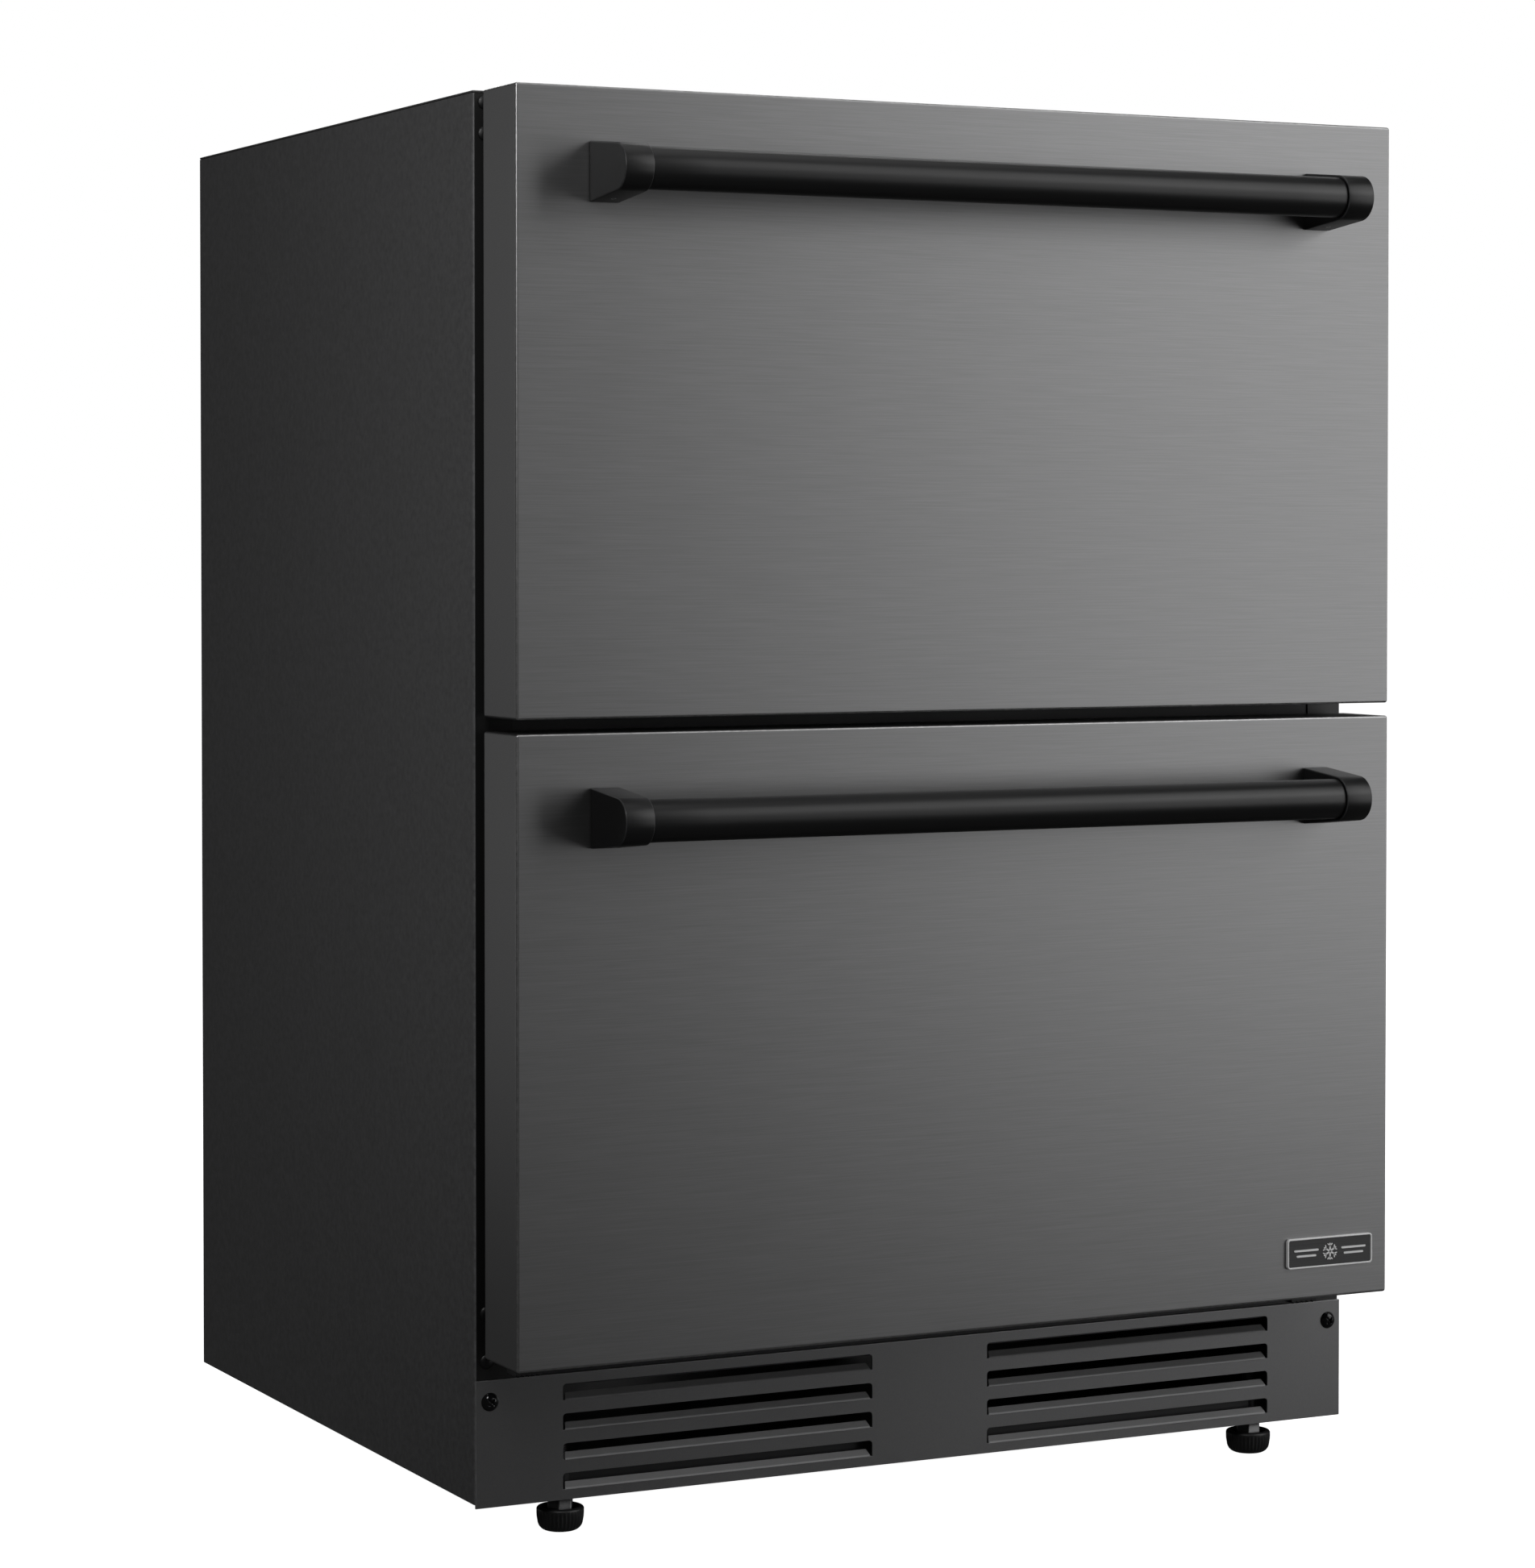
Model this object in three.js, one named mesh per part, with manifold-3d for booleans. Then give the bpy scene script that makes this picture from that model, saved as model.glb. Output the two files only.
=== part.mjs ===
// Under-counter refrigerator with two drawers, built piece by piece.
//
// Millimetres. +X is the right-hand side, +Y the back, +Z up. Every piece is described with
// y = 0 on the cabinet's front flange and z = 0 on the floor; the last group moves the whole
// refrigerator so that its own origin is under the middle of its box.

import * as THREE from "three";
import { mergeVertices } from "three/addons/utils/BufferGeometryUtils.js";
import Module from "manifold-3d";

const wasm = await Module();
wasm.setup();

// ---- Driving dimensions -------------------------------------------------------------------

const gap = 0.3; // between pieces that touch
const sheet = 1.2; // outer sheet metal

const cabinet = { width: 597, depth: 480, bottom: 22.4, top: 838, frontFlange: 24.5, rearFlange: 12 };
const halfWidth = cabinet.width / 2;
const flangeEnd = halfWidth - cabinet.frontFlange; // |x| where the front flange stops

// The food space: its floor steps up at the back, over the machine space.
const foodSpace = { halfWidth: 254, front: 2.5, back: 432, floor: 124, ceiling: 806, wall: 1.5 };
const step = { front: 282, top: 302, foam: 36 };

const mullion = { bottom: 455, top: 494, depth: 28 };
const frame = { front: 1, bottom: 89, thickness: 1.2, ceilingEdge: 812 };

const kick = { bottom: 20.5, top: 94.6, screwX: 289.5, screwZ: 82 };
const louvre = {
  rows: 4,
  pitch: 17.45,
  lowestBend: 26.5,
  height: 9.5,
  reach: 4.8,
  relief: 1.2,
  left: [-243.5, -39.5],
  right: [40, 244],
};

const front = { width: 592, thickness: 47, clearance: 9.5, hem: 12 };
const frontBack = -front.clearance;
const frontFace = frontBack - front.thickness;

const handle = { belowTop: 48.5, reach: 36, barRadius: 12.2, postRadius: 13.7, postHeight: 34.6 };
const handlePost = { inner: 232.5, outer: 250.5 };

const bin = { halfWidth: 241, wall: 1.5, rim: 10 };
const drawers = [
  { name: "upper", bottom: 478.5, top: 837.4, gasketRise: 3, gasketDrop: 10,
    binFloor: 508, binTop: 690, binBack: 366, slideZ: 590 },
  { name: "lower", bottom: 108.6, top: 470.4, gasketRise: 5, gasketDrop: 3,
    binFloor: 134, binTop: 400, binBack: 268, slideZ: 345 },
];

const slide = { thickness: 1.2, front: 10, back: 400 };
const foot = { x: 239, front: 13, back: 455, cupRadius: 14, cupHeight: 14, nutAcross: 11, studRadius: 4 };
const badge = { left: 221.3, right: 284.2, bottom: 128, top: 146.8, thickness: 2 };

// ---- Finishes -----------------------------------------------------------------------------

function finish(color, roughness, metalness) {
  return () => new THREE.MeshStandardMaterial({ color, roughness, metalness });
}

const finishes = {
  brushedSkin: finish(0x6f6f70, 0.38, 0.9),
  blackSheet: finish(0x2b2b2d, 0.5, 0.4),
  satinBlack: finish(0x242426, 0.36, 0.5),
  darkPlastic: finish(0x17171a, 0.6, 0),
  rubber: finish(0x141415, 0.85, 0),
  liner: finish(0xd9dadb, 0.45, 0),
  foam: finish(0xe4d6a2, 0.9, 0),
  zinc: finish(0xb9bbbd, 0.35, 0.9),
  stainless: finish(0xa8a9ab, 0.3, 0.95),
  aluminium: finish(0xc3c5c8, 0.4, 0.9),
  enamel: finish(0x101011, 0.3, 0.3),
  copper: finish(0xb87333, 0.35, 0.9),
  lamp: finish(0xf2f2ea, 0.5, 0),
  badgeMetal: finish(0x3a3a3c, 0.3, 0.8),
};

// ---- Solids -------------------------------------------------------------------------------

function asSolid(geometry) {
  const bare = new THREE.BufferGeometry();
  bare.setAttribute("position", geometry.getAttribute("position"));
  bare.setIndex(geometry.index);
  const merged = mergeVertices(bare, 1e-4);
  return new wasm.Manifold(
    new wasm.Mesh({
      numProp: 3,
      vertProperties: merged.getAttribute("position").array,
      triVerts: new Uint32Array(merged.index.array),
    }),
  );
}

function asGeometry(solid) {
  const mesh = solid.getMesh();
  const geometry = new THREE.BufferGeometry();
  geometry.setAttribute("position", new THREE.BufferAttribute(new Float32Array(mesh.vertProperties), 3));
  geometry.setIndex(new THREE.BufferAttribute(new Uint32Array(mesh.triVerts), 1));
  geometry.computeVertexNormals();
  return geometry;
}

function join(...geometries) {
  return asGeometry(geometries.map(asSolid).reduce((sum, piece) => sum.add(piece)));
}

function cut(geometry, ...tools) {
  return asGeometry(tools.map(asSolid).reduce((left, tool) => left.subtract(tool), asSolid(geometry)));
}

const both = (half) => [-half, half];

function block([x0, x1], [y0, y1], [z0, z1]) {
  const geometry = new THREE.BoxGeometry(x1 - x0, y1 - y0, z1 - z0);
  return geometry.translate((x0 + x1) / 2, (y0 + y1) / 2, (z0 + z1) / 2);
}

const unitX = new THREE.Vector3(1, 0, 0);
const unitY = new THREE.Vector3(0, 1, 0);
const unitZ = new THREE.Vector3(0, 0, 1);
const turnTo = {
  x: new THREE.Matrix4().makeBasis(unitY, unitZ, unitX),
  y: new THREE.Matrix4().makeBasis(unitZ, unitX, unitY),
  z: new THREE.Matrix4(),
};

// A flat outline carried straight along an axis. The outline's points are [y, z] along x,
// [x, z] along y and [x, y] along z.
function prism(axis, outline, [from, to]) {
  const points = outline.map(([u, v]) => (axis === "y" ? new THREE.Vector2(v, u) : new THREE.Vector2(u, v)));
  const geometry = new THREE.ExtrudeGeometry(new THREE.Shape(points), {
    depth: to - from,
    bevelEnabled: false,
  });
  return geometry.translate(0, 0, from).applyMatrix4(turnTo[axis]);
}

function circle([u, v], radius, sides, startAngle = 0, sweep = 2 * Math.PI) {
  const count = sweep < 2 * Math.PI ? sides + 1 : sides;
  return Array.from({ length: count }, (_, i) => {
    const angle = startAngle + (sweep * i) / sides;
    return [u + radius * Math.cos(angle), v + radius * Math.sin(angle)];
  });
}

function rod(axis, centre, radius, span, sides = 24) {
  return prism(axis, circle(centre, radius, sides), span);
}

// A profile of [radius, height] points turned about the upright axis.
function turned(profile, sides = 24) {
  const points = profile.map(([r, h]) => new THREE.Vector2(r, h));
  return new THREE.LatheGeometry(points, sides).rotateX(Math.PI / 2);
}

// The outline of a sheet folded along an open line, its thickness laid to the left of the
// direction of travel and mitred at every fold.
function folded(line, thickness) {
  const points = line.map(([u, v]) => new THREE.Vector2(u, v));
  const normals = points.slice(1).map((p, i) => {
    const along = p.clone().sub(points[i]).normalize();
    return new THREE.Vector2(-along.y, along.x);
  });
  const offset = points.map((p, i) => {
    const before = normals[Math.max(i - 1, 0)];
    const after = normals[Math.min(i, normals.length - 1)];
    const mitre = before.clone().add(after).divideScalar(1 + before.dot(after));
    return p.clone().addScaledVector(mitre, thickness);
  });
  return [...points, ...offset.reverse()].map((p) => [p.x, p.y]);
}

// An open-backed or open-topped box: a block with a smaller block taken out of it.
function shell(outer, inner) {
  return cut(block(...outer), block(...inner));
}

function piece(name, geometry, makeMaterial) {
  const mesh = new THREE.Mesh(geometry, makeMaterial());
  mesh.name = name;
  return mesh;
}

// ---- Cabinet shell ------------------------------------------------------------------------

const roofUnderside = cabinet.top - sheet;
const wallTop = roofUnderside - gap;
const insideHalfWidth = halfWidth - sheet - gap;
const rearInside = cabinet.depth - sheet - gap;
const rearOpening = halfWidth - cabinet.rearFlange - gap; // |x| of the rear panels

function kickScrewHole(x) {
  const radius = 2.5;
  return rod("y", [x, kick.screwZ], radius, [-5, 5], 16);
}

// One folded sheet: front flange, side, rear flange.
function sidePanel(side) {
  const line = [
    [side * flangeEnd, 0],
    [side * halfWidth, 0],
    [side * halfWidth, cabinet.depth],
    [side * (halfWidth - cabinet.rearFlange), cabinet.depth],
  ];
  const outline = folded(side > 0 ? line : line.reverse(), sheet);
  return cut(prism("z", outline, [cabinet.bottom, wallTop]), kickScrewHole(side * kick.screwX));
}

function topPanel() {
  return block(both(halfWidth), [0, cabinet.depth], [roofUnderside, cabinet.top]);
}

const machineTop = step.top - step.foam - foodSpace.wall;
const machineFront = step.front + step.foam;
const foamFloor = foodSpace.floor - step.foam;

// The rear sheet stops above the machine space, and the grille closes that space.
function rearPanel() {
  return block(both(rearOpening), [cabinet.depth - sheet, cabinet.depth], [machineTop - 2, wallTop]);
}

const gland = { x: 245, z: 62, radius: 8.4, bore: 4 };

function rearGrille() {
  const rows = 9;
  const columns = 3;
  const slot = { width: 150, height: 6, pitch: 20, lowest: 62 };
  const y = [cabinet.depth - sheet, cabinet.depth];
  const slots = [];
  for (let row = 0; row < rows; row++) {
    for (let column = 0; column < columns; column++) {
      const x = (column - (columns - 1) / 2) * (slot.width + 20);
      const z = slot.lowest + row * slot.pitch;
      slots.push(block([x - slot.width / 2, x + slot.width / 2], [y[0] - 1, y[1] + 1], [z, z + slot.height]));
    }
  }
  const glandHole = rod("y", [gland.x, gland.z - 22], gland.radius + gap, [y[0] - 1, y[1] + 1]);
  const plate = block(both(rearOpening), y, [cabinet.bottom + 2, machineTop - 2 - gap]);
  return cut(plate, ...slots, glandHole);
}

// Bushing in the grille that the supply lead passes through.
function cordGland() {
  const flangeRadius = gland.radius + 3;
  const y = [cabinet.depth - 12, cabinet.depth];
  const centre = [gland.x, gland.z - 22];
  const body = join(
    rod("y", centre, gland.radius, y),
    rod("y", centre, flangeRadius, [y[0], cabinet.depth - sheet - gap]),
  );
  return cut(body, rod("y", centre, gland.bore, [y[0] - 1, y[1] + 1], 16));
}

const basePlate = { floor: 24, wallTop: 46, thickness: 1.5, front: 7.5, lipTop: 34, nutRadius: 6.4 };
const studHoleRadius = foot.studRadius + gap;

const footPlaces = [
  { name: "foot_front_left", x: -foot.x, y: foot.front },
  { name: "foot_front_right", x: foot.x, y: foot.front },
  { name: "foot_rear_left", x: -foot.x, y: foot.back },
  { name: "foot_rear_right", x: foot.x, y: foot.back },
];

// A shallow pan with a nut for each foot's stud.
function basePan() {
  const { floor, thickness, wallTop: sideTop, front: frontEdge, lipTop, nutRadius } = basePlate;
  const line = [
    [-insideHalfWidth, sideTop],
    [-insideHalfWidth, floor],
    [insideHalfWidth, floor],
    [insideHalfWidth, sideTop],
  ];
  const pan = prism("y", folded(line, thickness), [frontEdge, rearInside]);
  const lip = block(both(insideHalfWidth - 1), [frontEdge, frontEdge + thickness], [floor, lipTop]);
  const nutTop = 37;
  const nuts = footPlaces.map(({ x, y }) => rod("z", [x, y], nutRadius, [floor, nutTop]));
  const holes = footPlaces.map(({ x, y }) => rod("z", [x, y], studHoleRadius, [0, nutTop + 1]));
  return cut(join(pan, lip, ...nuts), ...holes);
}

// ---- Insulated body -----------------------------------------------------------------------

function linerOutline(grow, frontEdge) {
  return [
    [frontEdge, foodSpace.floor - grow],
    [step.front + grow, foodSpace.floor - grow],
    [step.front + grow, step.top - grow],
    [foodSpace.back + grow, step.top - grow],
    [foodSpace.back + grow, foodSpace.ceiling + grow],
    [frontEdge, foodSpace.ceiling + grow],
  ];
}

function liner() {
  const outline = linerOutline(foodSpace.wall, foodSpace.front);
  const outer = prism("x", outline, both(foodSpace.halfWidth + foodSpace.wall));
  const hollow = prism("x", linerOutline(0, foodSpace.front - 5), both(foodSpace.halfWidth));
  return cut(outer, hollow);
}

// The line along the underside of the foam, which the underside panel follows.
const undersideLine = [
  [foodSpace.front, foamFloor],
  [machineFront, foamFloor],
  [machineFront, machineTop],
  [rearInside, machineTop],
];

function foamInsulation() {
  const rise = foodSpace.front;
  const outline = [
    [rise, foamFloor + gap],
    [machineFront - gap, foamFloor + gap],
    [machineFront - gap, machineTop + gap],
    [rearInside, machineTop + gap],
    [rearInside, wallTop],
    [rise, wallTop],
  ];
  const filled = prism("x", outline, both(insideHalfWidth));
  const linerSpace = foodSpace.wall + gap;
  return cut(filled, prism("x", linerOutline(linerSpace, rise - 5), both(foodSpace.halfWidth + linerSpace)));
}

function undersidePanel() {
  return prism("x", folded([...undersideLine].reverse(), sheet), both(insideHalfWidth));
}

// Flat frame that the gaskets close against, with one opening for each drawer.
function faceFrame() {
  const y = [frame.front, frame.front + frame.thickness];
  const plate = block(both(flangeEnd - gap), y, [frame.bottom, wallTop]);
  const throughY = [y[0] - 1, y[1] + 1];
  return cut(
    plate,
    block(both(foodSpace.halfWidth), throughY, [mullion.top, frame.ceilingEdge]),
    block(both(foodSpace.halfWidth), throughY, [foodSpace.floor, mullion.bottom]),
  );
}

// Channel behind the frame, between the two drawers.
function mullionBar() {
  const frontEdge = foodSpace.front;
  const line = [
    [frontEdge + mullion.depth, mullion.top - 3],
    [frontEdge, mullion.top - 3],
    [frontEdge, mullion.bottom + 3],
    [frontEdge + mullion.depth, mullion.bottom + 3],
  ];
  return prism("x", folded(line, 1.5), both(foodSpace.halfWidth - gap));
}

// ---- Kick plate ---------------------------------------------------------------------------

const kickFront = -gap - sheet;

function louvreBends() {
  return Array.from({ length: louvre.rows }, (_, row) => louvre.lowestBend + row * louvre.pitch);
}

// Each louvre is a slot whose lower edge is a lip bent back and up at 45 degrees.
function kickPlate() {
  const slots = [];
  const lips = [];
  for (const [x0, x1] of [louvre.left, louvre.right]) {
    for (const bend of louvreBends()) {
      slots.push(block([x0, x1], [kickFront - 1, 1], [bend, bend + louvre.height]));
      const line = [
        [-gap, bend - sheet],
        [-gap, bend],
        [-gap + louvre.reach, bend + louvre.reach],
      ];
      lips.push(prism("x", folded(line, sheet), [x0 + louvre.relief, x1 - louvre.relief]));
    }
  }
  const plate = block(both(halfWidth), [kickFront, -gap], [kick.bottom, kick.top]);
  const holes = [-kick.screwX, kick.screwX].map(kickScrewHole);
  return join(cut(plate, ...slots, ...holes), ...lips);
}

// Pan-head screw: domed head in front of the sheet, shank through sheet and flange.
function kickScrew() {
  const headRadius = 4.6;
  const headHeight = 2.6;
  const shankRadius = 2.1;
  const shankLength = 3.6;
  const rounding = 1.2;
  const profile = [
    [0, -shankLength],
    [shankRadius, -shankLength],
    [shankRadius, 0],
    [headRadius, 0],
    [headRadius, headHeight - rounding],
    [headRadius - rounding, headHeight],
    [0, headHeight],
  ];
  return turned(profile, 20).rotateX(Math.PI / 2);
}

// ---- Feet ---------------------------------------------------------------------------------

// A cup on the floor with a hexagon and a threaded stud that screws into the base pan.
function levellingFoot() {
  const wall = 1.6;
  const rounding = 2;
  const cupFloor = 4;
  const nutTop = 20;
  const studTop = 52;
  const profile = [
    [0, 0],
    [foot.cupRadius - rounding, 0],
    [foot.cupRadius, rounding],
    [foot.cupRadius, foot.cupHeight],
    [foot.cupRadius - wall, foot.cupHeight],
    [foot.cupRadius - wall, cupFloor],
    [foot.studRadius, cupFloor],
    [foot.studRadius, studTop],
    [0, studTop],
  ];
  const nutRadius = foot.nutAcross / Math.sqrt(3);
  return join(turned(profile), rod("z", [0, 0], nutRadius, [cupFloor - 1, nutTop], 6));
}

// ---- Drawer slides ------------------------------------------------------------------------

// The three members nest: the outer is fixed to the liner, the inner to the bin, and the middle
// one travels half as far as the drawer. Each is a channel [web, lip ends, half height].
const members = {
  outer: { web: foodSpace.halfWidth - gap, lip: 244.5, halfHeight: 23, from: slide.front, to: slide.back },
  middle: { web: 251.5, lip: 243.9, halfHeight: 20.8, from: slide.front + 4, to: slide.back - 4 },
  inner: { web: bin.halfWidth + gap, lip: 249.3, halfHeight: 17, from: slide.front - 4, to: slide.back - 10 },
};

function slideMember(member, side) {
  const { web, lip, halfHeight, from, to } = member;
  const line = [
    [side * lip, -halfHeight],
    [side * web, -halfHeight],
    [side * web, halfHeight],
    [side * lip, halfHeight],
  ];
  const lipsPointInwards = web > lip;
  const leftIsInside = side > 0 === lipsPointInwards;
  return prism("y", folded(leftIsInside ? line : line.reverse(), slide.thickness), [from, to]);
}

function slidePair(prefix, kind, z) {
  return [
    ["left", -1],
    ["right", 1],
  ].map(([word, side]) => {
    const mesh = piece(prefix + "_" + word, slideMember(members[kind], side), finishes.zinc);
    mesh.position.z = z;
    return mesh;
  });
}

// ---- Drawer fronts ------------------------------------------------------------------------

const skinHalf = front.width / 2;

// Folded skin: face, four returns and a hem round the back.
function drawerSkin(height) {
  const outer = [both(skinHalf), [frontFace, frontBack], [0, height]];
  const hollow = [both(skinHalf - sheet), [frontFace + sheet, frontBack - sheet], [sheet, height - sheet]];
  const openDepth = [frontBack - 2 * sheet, frontBack + 1];
  const opening = [both(skinHalf - front.hem), openDepth, [front.hem, height - front.hem]];
  return cut(block(...outer), block(...hollow), block(...opening));
}

function drawerCore(height) {
  const clear = sheet + gap;
  return block(both(skinHalf - clear), [frontFace + clear, frontBack - clear], [clear, height - clear]);
}

function innerPanel(height) {
  const inset = front.hem + gap;
  return block(both(skinHalf - inset), [frontBack - sheet, frontBack], [inset, height - inset]);
}

function gasket(height, rise, drop) {
  const width = 12;
  const half = 270;
  const y = [frontBack + gap, frame.front - gap];
  return shell(
    [both(half), y, [rise, height - drop]],
    [both(half - width), [y[0] - 1, y[1] + 1], [rise + width, height - drop - width]],
  );
}

const barY = frontFace - handle.reach;

// A flat foot on the skin that narrows along two tangents to a round nose.
function handlePostOutline() {
  const halfHeight = handle.postHeight / 2;
  const reach = handle.reach - gap;
  const cornerAngle = Math.atan2(halfHeight, reach);
  const touchAngle = cornerAngle + Math.acos(handle.postRadius / Math.hypot(reach, halfHeight));
  return [
    [frontFace - gap, -halfHeight],
    [frontFace - gap, halfHeight],
    ...circle([barY, 0], handle.postRadius, 20, touchAngle, 2 * (Math.PI - touchAngle)),
  ];
}

function handlePostPiece(side) {
  const span = side > 0 ? [handlePost.inner, handlePost.outer] : [-handlePost.outer, -handlePost.inner];
  return prism("x", handlePostOutline(), span);
}

function handleBar() {
  return rod("x", [barY, 0], handle.barRadius, both(handlePost.inner - gap), 28);
}

// ---- Bins ---------------------------------------------------------------------------------

// Open-topped bin with a rim turned inwards.
function storageBin({ binFloor, binTop, binBack }) {
  const { halfWidth: half, wall, rim } = bin;
  const y = [frontBack + gap, binBack];
  const walls = shell(
    [both(half), y, [binFloor, binTop]],
    [both(half - wall), [y[0] + wall, y[1] - wall], [binFloor + wall, binTop + 1]],
  );
  const rimRing = shell(
    [both(half), y, [binTop - wall, binTop]],
    [both(half - rim), [y[0] + rim, y[1] - rim], [binTop - 2 * wall, binTop + 1]],
  );
  return join(walls, rimRing);
}

// ---- One drawer ---------------------------------------------------------------------------

function buildDrawer(spec) {
  const { name, bottom, top } = spec;
  const height = top - bottom;
  const drawer = new THREE.Group();
  const frontGroup = new THREE.Group();
  frontGroup.position.z = bottom;
  frontGroup.add(
    piece(name + "_front_skin", drawerSkin(height), finishes.brushedSkin),
    piece(name + "_front_core", drawerCore(height), finishes.foam),
    piece(name + "_inner_panel", innerPanel(height), finishes.stainless),
    piece(name + "_gasket", gasket(height, spec.gasketRise, spec.gasketDrop), finishes.rubber),
  );

  const handleGroup = new THREE.Group();
  handleGroup.position.z = top - handle.belowTop;
  handleGroup.add(
    piece(name + "_handle_bar", handleBar(), finishes.satinBlack),
    piece(name + "_handle_post_left", handlePostPiece(-1), finishes.satinBlack),
    piece(name + "_handle_post_right", handlePostPiece(1), finishes.satinBlack),
  );

  drawer.add(frontGroup, handleGroup);
  drawer.add(piece(name + "_bin", storageBin(spec), finishes.stainless));
  drawer.add(...slidePair(name + "_slide_inner", "inner", spec.slideZ));
  drawer.add(...slidePair(name + "_slide_middle", "middle", spec.slideZ));
  drawer.add(...slidePair(name + "_slide_outer", "outer", spec.slideZ));
  return drawer;
}

// Small plate near the lower right corner of the lower drawer's face.
function badgePlate() {
  const y = [frontFace - gap - badge.thickness, frontFace - gap];
  return block([badge.left, badge.right], y, [badge.bottom, badge.top]);
}

// ---- Cooling, inside the food space -------------------------------------------------------

const evaporator = { halfWidth: 150, front: 398, bottom: 535, top: 650, fins: 25 };
const cover = { halfWidth: 172, front: 374, bottom: 520, top: 790, wall: 1.6 };
const evaporatorFan = { z: 720, radius: 44, front: 378, thickness: 10 };

// A back plate with upright fins, as an outline of [across, depth] points.
function finOutline(halfSpan, depth, fins, plate) {
  const pitch = (2 * halfSpan) / (fins - 1 + 0.3);
  const finWidth = 0.3 * pitch;
  const points = [[halfSpan, depth], [-halfSpan, depth]];
  for (let i = 0; i < fins; i++) {
    const left = -halfSpan + i * pitch;
    points.push([left, 0], [left + finWidth, 0]);
    if (i < fins - 1) points.push([left + finWidth, depth - plate], [left + pitch, depth - plate]);
  }
  return points;
}

function evaporatorBlock() {
  const depth = foodSpace.back - 2 - evaporator.front;
  const outline = finOutline(evaporator.halfWidth, depth, evaporator.fins, 4);
  return prism("z", outline, [evaporator.bottom, evaporator.top]).translate(0, evaporator.front, 0);
}

function evaporatorCover() {
  const { halfWidth: half, front: face, bottom, top, wall } = cover;
  const back = foodSpace.back - gap;
  const box = shell(
    [both(half), [face, back], [bottom, top]],
    [both(half - wall), [face + wall, back + 1], [bottom + wall, top - wall]],
  );
  const fanHole = rod("y", [0, evaporatorFan.z], evaporatorFan.radius + 5, [face - 1, face + wall + 1], 32);
  const slots = [];
  const slotCount = 9;
  const slotPitch = 34;
  for (let i = 0; i < slotCount; i++) {
    const x = (i - (slotCount - 1) / 2) * slotPitch;
    slots.push(block([x - 10, x + 10], [face - 1, face + wall + 1], [bottom + 10, bottom + 16]));
  }
  return cut(box, fanHole, ...slots);
}

// Hub with pitched blades, its axis upright before it is placed.
function fanRotor(radius, thickness, blades) {
  const hubRadius = radius * 0.36;
  const bladeThickness = 1.6;
  const pitchAngle = THREE.MathUtils.degToRad(32);
  const parts = [rod("z", [0, 0], hubRadius, both(thickness / 2), 20)];
  for (let i = 0; i < blades; i++) {
    const chord = thickness * 0.8;
    const blade = block([hubRadius - 2, radius], both(chord), both(bladeThickness / 2));
    parts.push(blade.rotateX(pitchAngle).rotateZ((2 * Math.PI * i) / blades));
  }
  return join(...parts);
}

function evaporatorFanMotor() {
  const y = evaporatorFan.front + evaporatorFan.thickness + 3;
  const radius = 18;
  const body = rod("y", [0, evaporatorFan.z], radius, [y, y + 20]);
  const bracket = block(both(22), [y + 16, foodSpace.back - 2], [evaporatorFan.z - 5, evaporatorFan.z + 5]);
  return join(body, bracket);
}

function lightBar() {
  return block(both(120), [20, 34], [foodSpace.ceiling - 9, foodSpace.ceiling - gap]);
}

// Touch control housing under the ceiling, with a sloping face.
function controlPanel() {
  const outline = [
    [42, foodSpace.ceiling - gap],
    [42, foodSpace.ceiling - 10],
    [48, foodSpace.ceiling - 16],
    [84, foodSpace.ceiling - 16],
    [84, foodSpace.ceiling - gap],
  ];
  return prism("x", outline, both(70));
}

// ---- Cooling, in the machine space --------------------------------------------------------

const machineFloor = basePlate.floor + basePlate.thickness + gap;
const compressor = { x: -150, y: 400, radius: 62, top: 205 };
const condenser = { left: 70, right: 120, y: 400, halfSpan: 68, top: 215, fins: 24 };
const condenserFan = { x: 40, y: 400, z: 130, radius: 58, thickness: 14 };

function compressorUnit() {
  const { radius, top } = compressor;
  const bottom = machineFloor + 14;
  const shoulder = 26;
  const dome = Array.from({ length: 5 }, (_, i) => {
    const angle = (Math.PI / 2) * (i / 4);
    return [radius - shoulder + shoulder * Math.cos(angle), top - shoulder + shoulder * Math.sin(angle)];
  });
  const pot = turned([[0, bottom], [radius - 12, bottom], [radius, bottom + 14], ...dome, [0, top]], 28);
  const footPlate = block(both(75), both(55), [machineFloor + 10, bottom + 2]);
  const grommets = [];
  for (const x of [-65, 65]) {
    for (const y of [-45, 45]) grommets.push(rod("z", [x, y], 8, [machineFloor, machineFloor + 11], 12));
  }
  const terminalBox = block([radius - 8, radius + 12], both(22), [80, 135]);
  return join(pot, footPlate, ...grommets, terminalBox).translate(compressor.x, compressor.y, 0);
}

function drainPan() {
  const z = [compressor.top + gap, compressor.top + 24];
  return shell(
    [[-225, -75], [337, 463], z],
    [[-223, -77], [339, 461], [z[0] + 2, z[1] + 1]],
  );
}

function condenserBlock() {
  const depth = condenser.right - condenser.left;
  const outline = finOutline(condenser.halfSpan, depth, condenser.fins, 6);
  const turn = new THREE.Matrix4().makeRotationZ(-Math.PI / 2);
  const geometry = prism("z", outline, [machineFloor, condenser.top]).applyMatrix4(turn);
  return geometry.translate(condenser.left, condenser.y, 0);
}

function condenserFanMotor() {
  const { x, y, z, thickness } = condenserFan;
  const back = x - thickness / 2 - 3;
  const body = rod("x", [y, z], 24, [back - 24, back]);
  return join(body, block([back - 16, back - 10], [y - 30, y + 30], [machineFloor, z]));
}

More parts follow.
